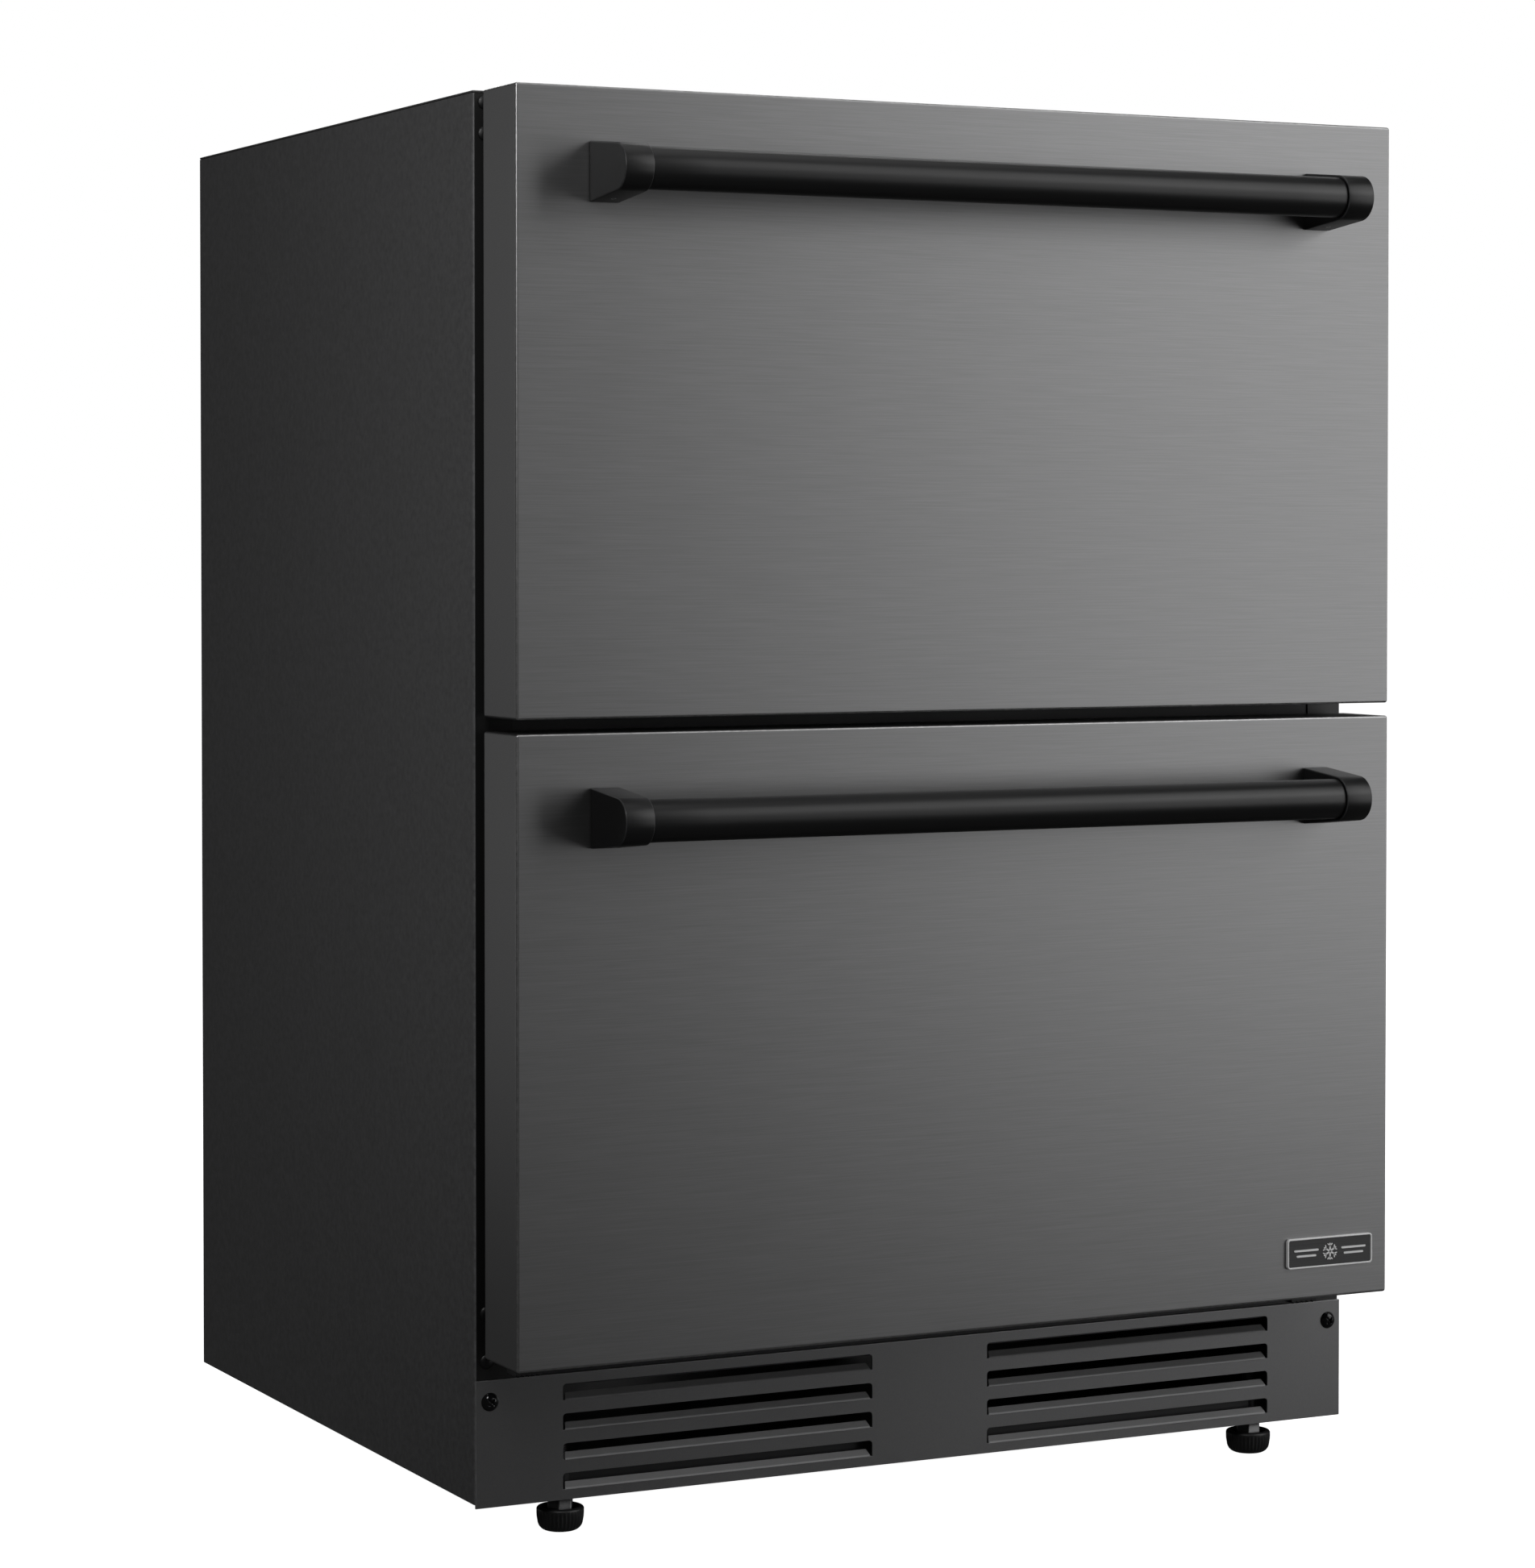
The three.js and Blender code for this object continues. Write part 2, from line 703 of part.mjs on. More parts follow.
// Drier cartridge and the brazed line from the compressor to the condenser.
function refrigerantLine() {
  const lineRadius = 4;
  const route = new THREE.CatmullRomCurve3([
    new THREE.Vector3(-72, 452, 150),
    new THREE.Vector3(-60, 455, 190),
    new THREE.Vector3(-20, 463, 224),
    new THREE.Vector3(40, 463, 232),
    new THREE.Vector3(80, 440, 230),
    new THREE.Vector3(95, 410, 221),
  ]);
  const section = new THREE.Shape(circle([0, 0], lineRadius, 8).map(([u, v]) => new THREE.Vector2(u, v)));
  const line = new THREE.ExtrudeGeometry(section, { steps: 30, bevelEnabled: false, extrudePath: route });
  const drier = turned(
    [[0, 60], [4, 60], [11, 72], [11, 140], [4, 152], [0, 152]],
    16,
  ).translate(-72, 452, 0);
  return join(line, drier);
}

// ---- Assembly -----------------------------------------------------------------------------

const fridge = new THREE.Group();
fridge.name = "under_counter_fridge";

fridge.add(
  piece("side_panel_left", sidePanel(-1), finishes.blackSheet),
  piece("side_panel_right", sidePanel(1), finishes.blackSheet),
  piece("top_panel", topPanel(), finishes.blackSheet),
  piece("rear_panel", rearPanel(), finishes.blackSheet),
  piece("rear_grille", rearGrille(), finishes.blackSheet),
  piece("cord_gland", cordGland(), finishes.darkPlastic),
  piece("base_pan", basePan(), finishes.blackSheet),
  piece("liner", liner(), finishes.liner),
  piece("foam_insulation", foamInsulation(), finishes.foam),
  piece("underside_panel", undersidePanel(), finishes.blackSheet),
  piece("face_frame", faceFrame(), finishes.blackSheet),
  piece("mullion_bar", mullionBar(), finishes.blackSheet),
  piece("kick_plate", kickPlate(), finishes.satinBlack),
  piece("evaporator", evaporatorBlock(), finishes.aluminium),
  piece("evaporator_cover", evaporatorCover(), finishes.liner),
  piece("evaporator_fan_motor", evaporatorFanMotor(), finishes.darkPlastic),
  piece("light_bar", lightBar(), finishes.lamp),
  piece("control_panel", controlPanel(), finishes.darkPlastic),
  piece("compressor", compressorUnit(), finishes.enamel),
  piece("drain_pan", drainPan(), finishes.darkPlastic),
  piece("condenser", condenserBlock(), finishes.aluminium),
  piece("condenser_fan_motor", condenserFanMotor(), finishes.darkPlastic),
  piece("refrigerant_line", refrigerantLine(), finishes.copper),
  piece("badge", badgePlate(), finishes.badgeMetal),
);

for (const [word, side] of [["left", -1], ["right", 1]]) {
  const screw = piece("kick_screw_" + word, kickScrew(), finishes.satinBlack);
  screw.position.set(side * kick.screwX, kickFront - 0.1, kick.screwZ);
  fridge.add(screw);
}

const bladeCount = 5;
const evaporatorBlades = fanRotor(evaporatorFan.radius, evaporatorFan.thickness, bladeCount);
const evaporatorRotor = piece("evaporator_fan", evaporatorBlades, finishes.darkPlastic);
evaporatorRotor.rotation.x = Math.PI / 2;
evaporatorRotor.position.set(0, evaporatorFan.front + evaporatorFan.thickness / 2, evaporatorFan.z);

const condenserBlades = fanRotor(condenserFan.radius, condenserFan.thickness, bladeCount);
const condenserRotor = piece("condenser_fan", condenserBlades, finishes.darkPlastic);
condenserRotor.rotation.y = Math.PI / 2;
condenserRotor.position.set(condenserFan.x, condenserFan.y, condenserFan.z);
fridge.add(evaporatorRotor, condenserRotor);

for (const { name, x, y } of footPlaces) {
  const mesh = piece(name, levellingFoot(), finishes.darkPlastic);
  mesh.position.set(x, y, 0);
  fridge.add(mesh);
}

fridge.add(...drawers.map(buildDrawer));

// The origin goes under the middle of the whole box, from the handles' noses to the back.
const handleNose = barY - handle.postRadius;
fridge.position.y = -(cabinet.depth + handleNose) / 2;

const whole = new THREE.Group();
whole.add(fridge);
export default whole;
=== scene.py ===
import math

import bmesh
import bpy
import numpy as np
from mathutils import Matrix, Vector


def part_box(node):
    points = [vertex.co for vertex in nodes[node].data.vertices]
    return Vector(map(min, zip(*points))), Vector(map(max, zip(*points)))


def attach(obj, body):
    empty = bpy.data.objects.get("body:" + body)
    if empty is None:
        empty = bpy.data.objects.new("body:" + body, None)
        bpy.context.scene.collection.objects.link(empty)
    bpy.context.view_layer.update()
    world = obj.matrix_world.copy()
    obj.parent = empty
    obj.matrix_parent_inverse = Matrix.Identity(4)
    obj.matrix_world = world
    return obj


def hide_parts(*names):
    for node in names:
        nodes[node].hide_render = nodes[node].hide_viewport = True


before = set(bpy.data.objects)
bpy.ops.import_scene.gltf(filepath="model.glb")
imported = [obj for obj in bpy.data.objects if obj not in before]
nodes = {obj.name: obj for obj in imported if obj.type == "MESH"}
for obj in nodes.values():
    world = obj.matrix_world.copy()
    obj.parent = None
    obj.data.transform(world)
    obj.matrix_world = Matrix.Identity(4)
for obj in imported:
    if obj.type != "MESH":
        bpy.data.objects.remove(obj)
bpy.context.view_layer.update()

mm = 0.001
scene = bpy.context.scene
print("frame loaded:", len(nodes), "nodes")


cameraSet = {
    "place": (-1.2328, -2.4398, 0.5792),
    "turn": 26.5,          # degrees to the right of straight ahead
    "tilt": -1.37,
    "lens": 97.19,
    "shiftY": -0.09,
}


def makeCamera(s):
    data = bpy.data.cameras.new("view")
    data.lens = s["lens"]
    data.shift_y = s["shiftY"]
    data.clip_end = 60
    camera = bpy.data.objects.new("view", data)
    camera.location = s["place"]
    camera.rotation_euler = (math.radians(90 + s["tilt"]), 0, -math.radians(s["turn"]))
    scene.collection.objects.link(camera)
    scene.camera = camera


makeCamera(cameraSet)
print("camera ready")


def gridFaces(rows, cols, closeRows=False, closeCols=False):
    # one quad between each four neighbours of a rows-by-cols grid; either way may wrap round
    i = np.arange(rows if closeRows else rows - 1)
    j = np.arange(cols if closeCols else cols - 1)
    a, b = np.meshgrid(i, j, indexing="ij")
    a2, b2 = (a + 1) % rows, (b + 1) % cols
    return np.stack([a * cols + b, a * cols + b2, a2 * cols + b2, a2 * cols + b], -1).reshape(-1, 4)


def patch(points, closeRows=False, closeCols=False, caps=(False, False), wear=0.0):
    # a grid of points, rows x cols x 3, with an optional flat cap over the first and last row
    rows, cols = points.shape[:2]
    faces = gridFaces(rows, cols, closeRows, closeCols).tolist()
    if caps[0]:
        faces.append(list(range(cols))[::-1])
    if caps[1]:
        faces.append(list(range((rows - 1) * cols, rows * cols)))
    # per row or per point: wear and painted highlight above zero, painted shade below zero
    wearAndLightLevel = np.broadcast_to(np.asarray(wear, float).reshape(-1, 1) if np.ndim(wear) else wear, (rows, cols))
    return {"points": points.reshape(-1, 3), "faces": faces, "wear": wearAndLightLevel.reshape(-1)}


def makePiece(name, patches, material, body, replaces=(), sharp=38, closed=True):
    # joins the patches into one mesh, closes seams and poles, and turns closed shells outwards
    verts, faces, wear, start = [], [], [], 0
    for p in patches:
        verts.append(p["points"])
        wear.append(p["wear"])
        faces += [[i + start for i in f] for f in p["faces"]]
        start += len(p["points"])
    mesh = bpy.data.meshes.new(name)
    mesh.from_pydata(np.concatenate(verts).tolist(), [], faces)
    # the edge value: wear and painted highlight, or painted shade where below zero
    layer = mesh.attributes.new("edgeWearAndPaintedLight", "FLOAT", "POINT")
    layer.data.foreach_set("value", np.concatenate(wear).astype(np.float32))
    work = bmesh.new()
    work.from_mesh(mesh)
    bmesh.ops.remove_doubles(work, verts=work.verts, dist=2e-6)
    if closed:
        bmesh.ops.recalc_face_normals(work, faces=work.faces)
    work.to_mesh(mesh)
    work.free()
    mesh.polygons.foreach_set("use_smooth", np.ones(len(mesh.polygons), bool))
    mesh.set_sharp_from_angle(angle=math.radians(sharp))
    mesh.materials.append(material)
    piece = bpy.data.objects.new(name, mesh)
    scene.collection.objects.link(piece)
    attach(piece, body)
    if replaces:
        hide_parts(*replaces)
    return piece


def thicken(piece, thickness, edgeRound):
    # gives an open sheet its thickness on the side its faces look to, then rounds its cut edges
    solid = piece.modifiers.new("thickness", "SOLIDIFY")
    solid.thickness = thickness
    solid.offset = 1
    solid.use_even_offset = True
    bevel = piece.modifiers.new("edges", "BEVEL")
    bevel.width = edgeRound
    bevel.segments = 2
    bevel.limit_method = "ANGLE"
    bevel.angle_limit = math.radians(50)
    made = bpy.data.meshes.new_from_object(piece.evaluated_get(bpy.context.evaluated_depsgraph_get()))
    piece.modifiers.clear()
    piece.data = made
    made.polygons.foreach_set("use_smooth", np.ones(len(made.polygons), bool))
    made.set_sharp_from_angle(angle=math.radians(20))


def boxFace(node, axis):
    # a node's two corners, then the half sizes and the middle of its box across the axis
    lo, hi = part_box(node)
    u, v = {"y": (0, 2), "z": (0, 1)}[axis]
    half = ((hi[u] - lo[u]) / 2, (hi[v] - lo[v]) / 2)
    centre = ((hi[u] + lo[u]) / 2, (hi[v] + lo[v]) / 2)
    return lo, hi, half, centre


def unitRows(rows):
    rows = np.asarray(rows, float)
    return rows / np.linalg.norm(rows, axis=1, keepdims=True)


def place(axis, u, v, w):
    # puts the flat coordinates u, v and the distance w along the axis into x, y, z
    order = {"x": (w, u, v), "y": (u, w, v), "z": (u, v, w)}[axis]
    return np.stack(np.broadcast_arrays(*order), -1)


def roundedRects(halfU, halfV, radius, perCorner=7):
    # one row for each size: a rectangle whose corners are quarter circles of that radius
    halfU, halfV, radius = (np.asarray(a, float)[:, None, None] for a in (halfU, halfV, radius))
    quarter = np.linspace(0, np.pi / 2, perCorner)[None, None, :]
    turn = (np.arange(4) * np.pi / 2)[None, :, None]
    signU = np.array([1, -1, -1, 1])[None, :, None]
    signV = np.array([1, 1, -1, -1])[None, :, None]
    u = signU * (halfU - radius) + radius * np.cos(quarter + turn)
    v = signV * (halfV - radius) + radius * np.sin(quarter + turn)
    return u.reshape(len(halfU), -1), v.reshape(len(halfU), -1)


def stackedRects(axis, centre, half, corner, stations, closeRows=False, caps=(True, True)):
    # each station is (inset, distance along the axis, wear and painted highlight): the rectangle is drawn in
    # by the inset, and its corner radius shrinks by as much, so the wall keeps an even thickness
    inset, along, wear = np.array(stations, float).T
    radius = np.maximum(corner - inset, 0.12 * mm)
    u, v = roundedRects(half[0] - inset, half[1] - inset, radius)
    points = place(axis, u + centre[0], v + centre[1], along[:, None])
    return patch(points, closeRows=closeRows, closeCols=True, caps=caps, wear=wear)


def arc(centre, radius, fromDeg, toDeg, count):
    # points of a circular arc: centre plus radius times (cos, sin)
    angle = np.radians(np.linspace(fromDeg, toDeg, count))
    return np.stack([centre[0] + radius * np.cos(angle), centre[1] + radius * np.sin(angle)], -1)


def foldLine(corners, radius, count=6):
    # an open line whose inner corners become arcs of the given radius, with its left-hand normals
    corners = np.asarray(corners, float)
    legs = unitRows(np.diff(corners, axis=0))
    left = np.stack([-legs[:, 1], legs[:, 0]], -1)
    points, normals = [corners[:1]], [left[:1]]
    for corner, a, b, inward in zip(corners[1:-1], legs, legs[1:], left):
        turn = math.atan2(a[0] * b[1] - a[1] * b[0], a @ b)
        side = math.copysign(1, turn)
        first = corner - a * radius * math.tan(abs(turn) / 2)
        centre = first + side * radius * inward
        t = np.linspace(0, turn, count)
        start = first - centre
        c, s = np.cos(t), np.sin(t)
        spoke = np.stack([c * start[0] - s * start[1], s * start[0] + c * start[1]], -1)
        points.append(centre + spoke)
        normals.append(-side * spoke / radius)
    return np.concatenate([*points, corners[-1:]]), np.concatenate([*normals, left[-1:]])


def sheetAlong(axis, corners, radius, thickness, stations):
    # a folded sheet: the line is one skin, the line moved along its normals the other,
    # both carried straight along the axis and joined at the ends and the long edges
    line, normal = foldLine(corners, radius)
    other = line + normal * thickness
    loop = np.concatenate([line, other[::-1]])
    stations = np.asarray(stations, float)
    points = place(axis, loop[None, :, 0], loop[None, :, 1], stations[:, None])
    body = patch(points, closeCols=True)
    count, total = len(line), len(loop)
    k = np.arange(count - 1)
    strip = np.stack([k, k + 1, total - 2 - k, total - 1 - k], -1)
    last = (len(stations) - 1) * total
    body["faces"] += strip.tolist() + (strip + last)[:, ::-1].tolist()
    # wear and painted highlight on the folds, strongest where the sheet turns most
    bends = np.zeros(count)
    step = np.linalg.norm(np.diff(normal, axis=0), axis=1)
    bends[1:] += step
    bends[:-1] += step
    wearAndLightLevel = np.clip(bends / max(bends.max(), 1e-9), 0, 1)
    body["wear"] = np.tile(np.concatenate([wearAndLightLevel, np.zeros(count)]), len(stations))
    return body


def turnedPatch(axis, centre, profile, sides, ripple=None):
    # profile rows are (radius, height); the radius may ripple with the angle
    profile = np.asarray(profile, float)
    angle = np.linspace(0, 2 * np.pi, sides, endpoint=False)
    radius = np.repeat(profile[:, :1], sides, axis=1)
    if ripple is not None:
        radius = radius + ripple(profile[:, 1:2], angle[None, :], radius)
    u = centre[0] + radius * np.cos(angle)
    v = centre[1] + radius * np.sin(angle)
    return patch(place(axis, u, v, profile[:, 1:2]), closeCols=True, caps=(True, True))


def loftedOutline(axis, outline, normals, stations, centre=(0, 0)):
    # a closed outline carried along the axis; at each station it is drawn in along its normals
    # the third column is wear and painted highlight
    inset, along, wear = np.array(stations, float).T
    shape = outline[None] - inset[:, None, None] * normals[None]
    points = place(axis, shape[..., 0] + centre[0], shape[..., 1] + centre[1], along[:, None])
    return patch(points, closeCols=True, caps=(True, True), wear=wear)


rimSteps = 5


def edgeStations(low, high, radius, hold=0.5 * mm):
    # insets and distances that round both rims of a slab with quarter circles
    a = np.linspace(0, np.pi / 2, rimSteps)
    # the third column is wear and painted highlight, strongest halfway round each rim
    first = np.stack([radius * (1 - np.sin(a)), low + radius * (1 - np.cos(a)), np.sin(2 * a)], -1)
    last = np.stack([radius * (1 - np.cos(a)), high - radius * (1 - np.sin(a)), np.sin(2 * a)], -1)
    return np.concatenate([[[radius + hold, low, 0]], first, last, [[radius + hold, high, 0]]])


def nodeMaker(tree):
    def make(kind, inputs=None, **settings):
        node = tree.nodes.new(kind)
        for key, value in settings.items():
            setattr(node, key, value)
        for key, value in (inputs or {}).items():
            if isinstance(value, bpy.types.NodeSocket):
                tree.links.new(value, node.inputs[key])
            else:
                node.inputs[key].default_value = value
        return node
    return make


finishSet = {
    "noiseSpan": (0.28, 0.72),     # the noise hardly leaves this span
    "driftShare": 0.4,
    # noise that breaks up the wear and painted highlight on edges
    "wearScale": 260.0,
    "wearFloor": 0.35,
    # the near-black of painted shade
    "paintedShadeColor": (0.003, 0.003, 0.003, 1),
}


def newFinish(name, color, roughness, metallic, grain, **more):
    # a stretched noise gives the grain and a broad one a drift in tone: both move the colour and
    # the roughness, and the grain moves the bump; the edge value lightens folds and rims as wear and a
    # painted highlight, and below zero it paints shade in near-black
    low, high = finishSet["noiseSpan"]
    wearColor = more.get("wearColor", tuple(min(1, c * 1.9 + 0.02) for c in color))
    material = bpy.data.materials.new(name)
    material.use_nodes = True
    tree = material.node_tree
    tree.nodes.clear()
    make = nodeMaker(tree)
    spot = make("ShaderNodeTexCoord").outputs["Object"]

    def noise(scale, detail, stretch=(1, 1, 1)):
        turned = make("ShaderNodeMapping", {"Vector": spot, "Scale": stretch}).outputs["Vector"]
        return make("ShaderNodeTexNoise", {"Vector": turned, "Scale": scale, "Detail": detail,
                                           "Roughness": 0.6}).outputs["Fac"]

    fine = noise(grain["scale"], 5, grain["stretch"])
    broad = noise(more.get("driftScale", 5.0), 3, grain.get("driftStretch", (1, 1, 1)))

    def ranged(value, toLow, toHigh):
        return make("ShaderNodeMapRange", {"Value": value, "From Min": low, "From Max": high,
                                           "To Min": toLow, "To Max": toHigh}).outputs["Result"]

    def mixed(factor, a, b):
        node = make("ShaderNodeMix", data_type="RGBA", blend_type="MIX", clamp_factor=True)
        for key, kind, value in (("Factor", "VALUE", factor), ("A", "RGBA", a), ("B", "RGBA", b)):
            socket = next(s for s in node.inputs if s.name == key and s.type == kind)
            if isinstance(value, bpy.types.NodeSocket):
                tree.links.new(value, socket)
            else:
                socket.default_value = value
        return next(s for s in node.outputs if s.type == "RGBA")

    toneDepth = grain.get("tone", 0.1)
    dark = tuple(c * (1 - toneDepth) for c in color) + (1,)
    light = tuple(min(1, c * (1 + toneDepth)) for c in color) + (1,)
    toned = mixed(ranged(fine, 0.0, 1.0), dark, light)
    drift = more.get("drift", 0.06)
    drifted = mixed(ranged(broad, 0.0, 1.0), tuple(c * (1 - drift) for c in color) + (1,),
                    tuple(min(1, c * (1 + drift)) for c in color) + (1,))
    base = mixed(finishSet["driftShare"], toned, drifted)
    wearAndLightLevel = make("ShaderNodeAttribute", attribute_name="edgeWearAndPaintedLight").outputs["Fac"]
    patchy = ranged(noise(finishSet["wearScale"], 4), finishSet["wearFloor"], 1.0)
    wearSpread = make("ShaderNodeMath", {0: wearAndLightLevel, 1: patchy}, operation="MULTIPLY").outputs[0]
    wearAmount = make("ShaderNodeMath", {0: wearSpread, 1: more.get("wear", 0.5)},
                      operation="MULTIPLY").outputs[0]
    # lightens towards the edge colour: wear and a painted highlight
    base = mixed(wearAmount, base, wearColor + (1,))
    # below zero the edge value paints shade in near-black
    paintedShadeAmount = make("ShaderNodeMath", {0: wearAndLightLevel, 1: -1.0}, operation="MULTIPLY", use_clamp=True).outputs[0]
    base = mixed(paintedShadeAmount, base, finishSet["paintedShadeColor"])
    spread = grain.get("spread", 0.05)
    rough = make("ShaderNodeMath", {0: ranged(fine, roughness - spread, roughness + spread),
                                    1: ranged(broad, -drift * 0.5, drift * 0.5)}, operation="ADD").outputs[0]
    bump = make("ShaderNodeBump", {"Height": fine, "Strength": grain.get("bump", 0.1),
                                   "Distance": grain.get("depth", 0.0002)}).outputs["Normal"]
    shader = make("ShaderNodeBsdfPrincipled", {"Base Color": base, "Roughness": rough, "Normal": bump,
                                               "Metallic": metallic})
    make("ShaderNodeOutputMaterial", {"Surface": shader.outputs["BSDF"]})
    return material


alongX = {"stretch": (24, 500, 1900), "scale": 1.0, "driftStretch": (0.35, 3, 9)}
alongY = {"stretch": (500, 24, 1900), "scale": 1.0, "driftStretch": (3, 0.35, 9)}
powder = {"stretch": (1, 1, 1), "scale": 1500.0}

finishes = {
    "brushedSkin": newFinish("brushed_black_stainless", (0.25, 0.25, 0.252), 0.37, 1.0,
        {**alongX, "tone": 0.15, "spread": 0.02, "bump": 0.08, "depth": 0.00005},
        wear=0.7, wearColor=(0.9, 0.9, 0.9), drift=0.012, driftScale=4.0),
    "sideSheet": newFinish("black_side_sheet", (0.042, 0.042, 0.0425), 0.45, 0.0,
        {**powder, "tone": 0.05, "spread": 0.02, "bump": 0.03, "depth": 0.00004},
        wear=0.9, wearColor=(0.2, 0.2, 0.205), drift=0.02, driftScale=3.0),
    "frameSheet": newFinish("black_frame_sheet", (0.02, 0.02, 0.022), 0.45, 0.1,
        {**powder, "tone": 0.1, "bump": 0.08, "depth": 0.00005}, wear=0.3),
    "satinBlack": newFinish("satin_black_handle", (0.006, 0.006, 0.0063), 0.38, 0.0,
        {**powder, "scale": 1800.0, "tone": 0.15, "bump": 0.05, "depth": 0.00004},
        wear=0.5, wearColor=(0.16, 0.16, 0.165)),
    "kickBlack": newFinish("satin_black_kick_plate", (0.21, 0.21, 0.213), 0.34, 0.9,
        {**powder, "tone": 0.1, "bump": 0.05, "depth": 0.00004}, wear=0.8,
        wearColor=(0.6, 0.6, 0.605), drift=0.03),
    "kickLip": newFinish("satin_black_louvre_lip", (0.2, 0.2, 0.202), 0.42, 0.15,
        {**powder, "tone": 0.1, "bump": 0.05, "depth": 0.00004}, wear=0.5,
        wearColor=(0.3, 0.3, 0.303), drift=0.03),
    "screwBlack": newFinish("gloss_black_screw", (0.006, 0.006, 0.007), 0.13, 0.1,
        {**powder, "tone": 0.2, "bump": 0.02, "spread": 0.02}, wear=0.2),
    "plugBlack": newFinish("black_plug", (0.004, 0.004, 0.0045), 0.42, 0.0,
        {**powder, "tone": 0.2, "bump": 0.03, "spread": 0.03}, wear=0.15),
    "footPlastic": newFinish("black_foot_plastic", (0.01, 0.01, 0.0105), 0.45, 0.0,
        {**powder, "scale": 900.0, "tone": 0.25, "bump": 0.15, "depth": 0.0001},
        wear=0.3, wearColor=(0.07, 0.07, 0.07)),
    "darkPlastic": newFinish("dark_moulded_plastic", (0.018, 0.018, 0.02), 0.5, 0.0,
        {**powder, "scale": 800.0, "tone": 0.15, "bump": 0.15, "depth": 0.0001},
        wear=0.2, wearColor=(0.1, 0.1, 0.1)),
    "gasketRubber": newFinish("gasket_rubber", (0.014, 0.014, 0.015), 0.7, 0.0,
        {**powder, "scale": 600.0, "tone": 0.2, "bump": 0.2, "depth": 0.0001},
        wear=0.1, wearColor=(0.07, 0.07, 0.07)),
    "linerPlastic": newFinish("liner_plastic", (0.62, 0.63, 0.64), 0.34, 0.0,
        {**powder, "scale": 380.0, "tone": 0.04, "bump": 0.12}, wear=0.0, drift=0.03),
    "foam": newFinish("rigid_foam", (0.72, 0.6, 0.33), 0.9, 0.0,
        {**powder, "scale": 300.0, "tone": 0.2, "bump": 0.5, "depth": 0.0006}, wear=0.0),
    "studSteel": newFinish("dull_stud_steel", (0.12, 0.12, 0.122), 0.36, 0.75,
        {**alongY, "tone": 0.2, "bump": 0.1}, wear=0.6, wearColor=(0.5, 0.5, 0.5)),
    "zinc": newFinish("zinc_plate", (0.5, 0.51, 0.52), 0.36, 0.9,
        {**alongY, "tone": 0.12, "bump": 0.08}, wear=0.25, wearColor=(0.8, 0.8, 0.8)),
    "stainless": newFinish("stainless_bin", (0.5, 0.5, 0.505), 0.3, 0.95,
        {**alongX, "tone": 0.1, "bump": 0.08}, wear=0.25, wearColor=(0.85, 0.85, 0.85)),
    "finAluminium": newFinish("fin_aluminium", (0.62, 0.63, 0.64), 0.4, 0.9,
        {**powder, "scale": 420.0, "tone": 0.12, "bump": 0.2}, wear=0.1),
    "enamel": newFinish("compressor_enamel", (0.012, 0.012, 0.013), 0.28, 0.0,
        {**powder, "scale": 260.0, "tone": 0.2, "bump": 0.12}, wear=0.2, drift=0.2),
    "copper": newFinish("copper_line", (0.62, 0.3, 0.17), 0.36, 0.9,
        {**powder, "scale": 300.0, "tone": 0.15, "bump": 0.08}, wear=0.0, drift=0.25),
    "lamp": newFinish("lamp_diffuser", (0.85, 0.85, 0.8), 0.5, 0.0,
        {**powder, "scale": 600.0, "tone": 0.03, "bump": 0.1}, wear=0.0),
    "badgeField": newFinish("badge_field", (0.06, 0.06, 0.061), 0.4, 0.5,
        {**alongX, "tone": 0.3, "bump": 0.1}, wear=0.0),
    "badgeSilver": newFinish("badge_silver", (0.95, 0.95, 0.955), 0.3, 0.0,
        {**alongX, "tone": 0.06, "bump": 0.05}, wear=0.2, wearColor=(0.95, 0.95, 0.95)),
    "screwZinc": newFinish("bright_screw", (0.6, 0.6, 0.61), 0.3, 0.9,
        {**powder, "tone": 0.15, "bump": 0.05}, wear=0.3, wearColor=(0.9, 0.9, 0.9)),
}
print("finishes ready:", len(finishes))


skinSet = {
    "sheet": 1.0 * mm,
    "fold": 1.3 * mm,
    "corner": 1.6 * mm,
    "hem": 12 * mm,
    "hemRound": 0.8 * mm,
    "hemWearHighlight": 0.6,
    "flat": 3 * mm,        # from a fold to the first ring of the flat face
    "ease": 0.6 * mm,      # straight stretch beside a bend
    "levelWearHighlight": 0.15,     # the level folds get less wear and painted highlight than the upright ones
}


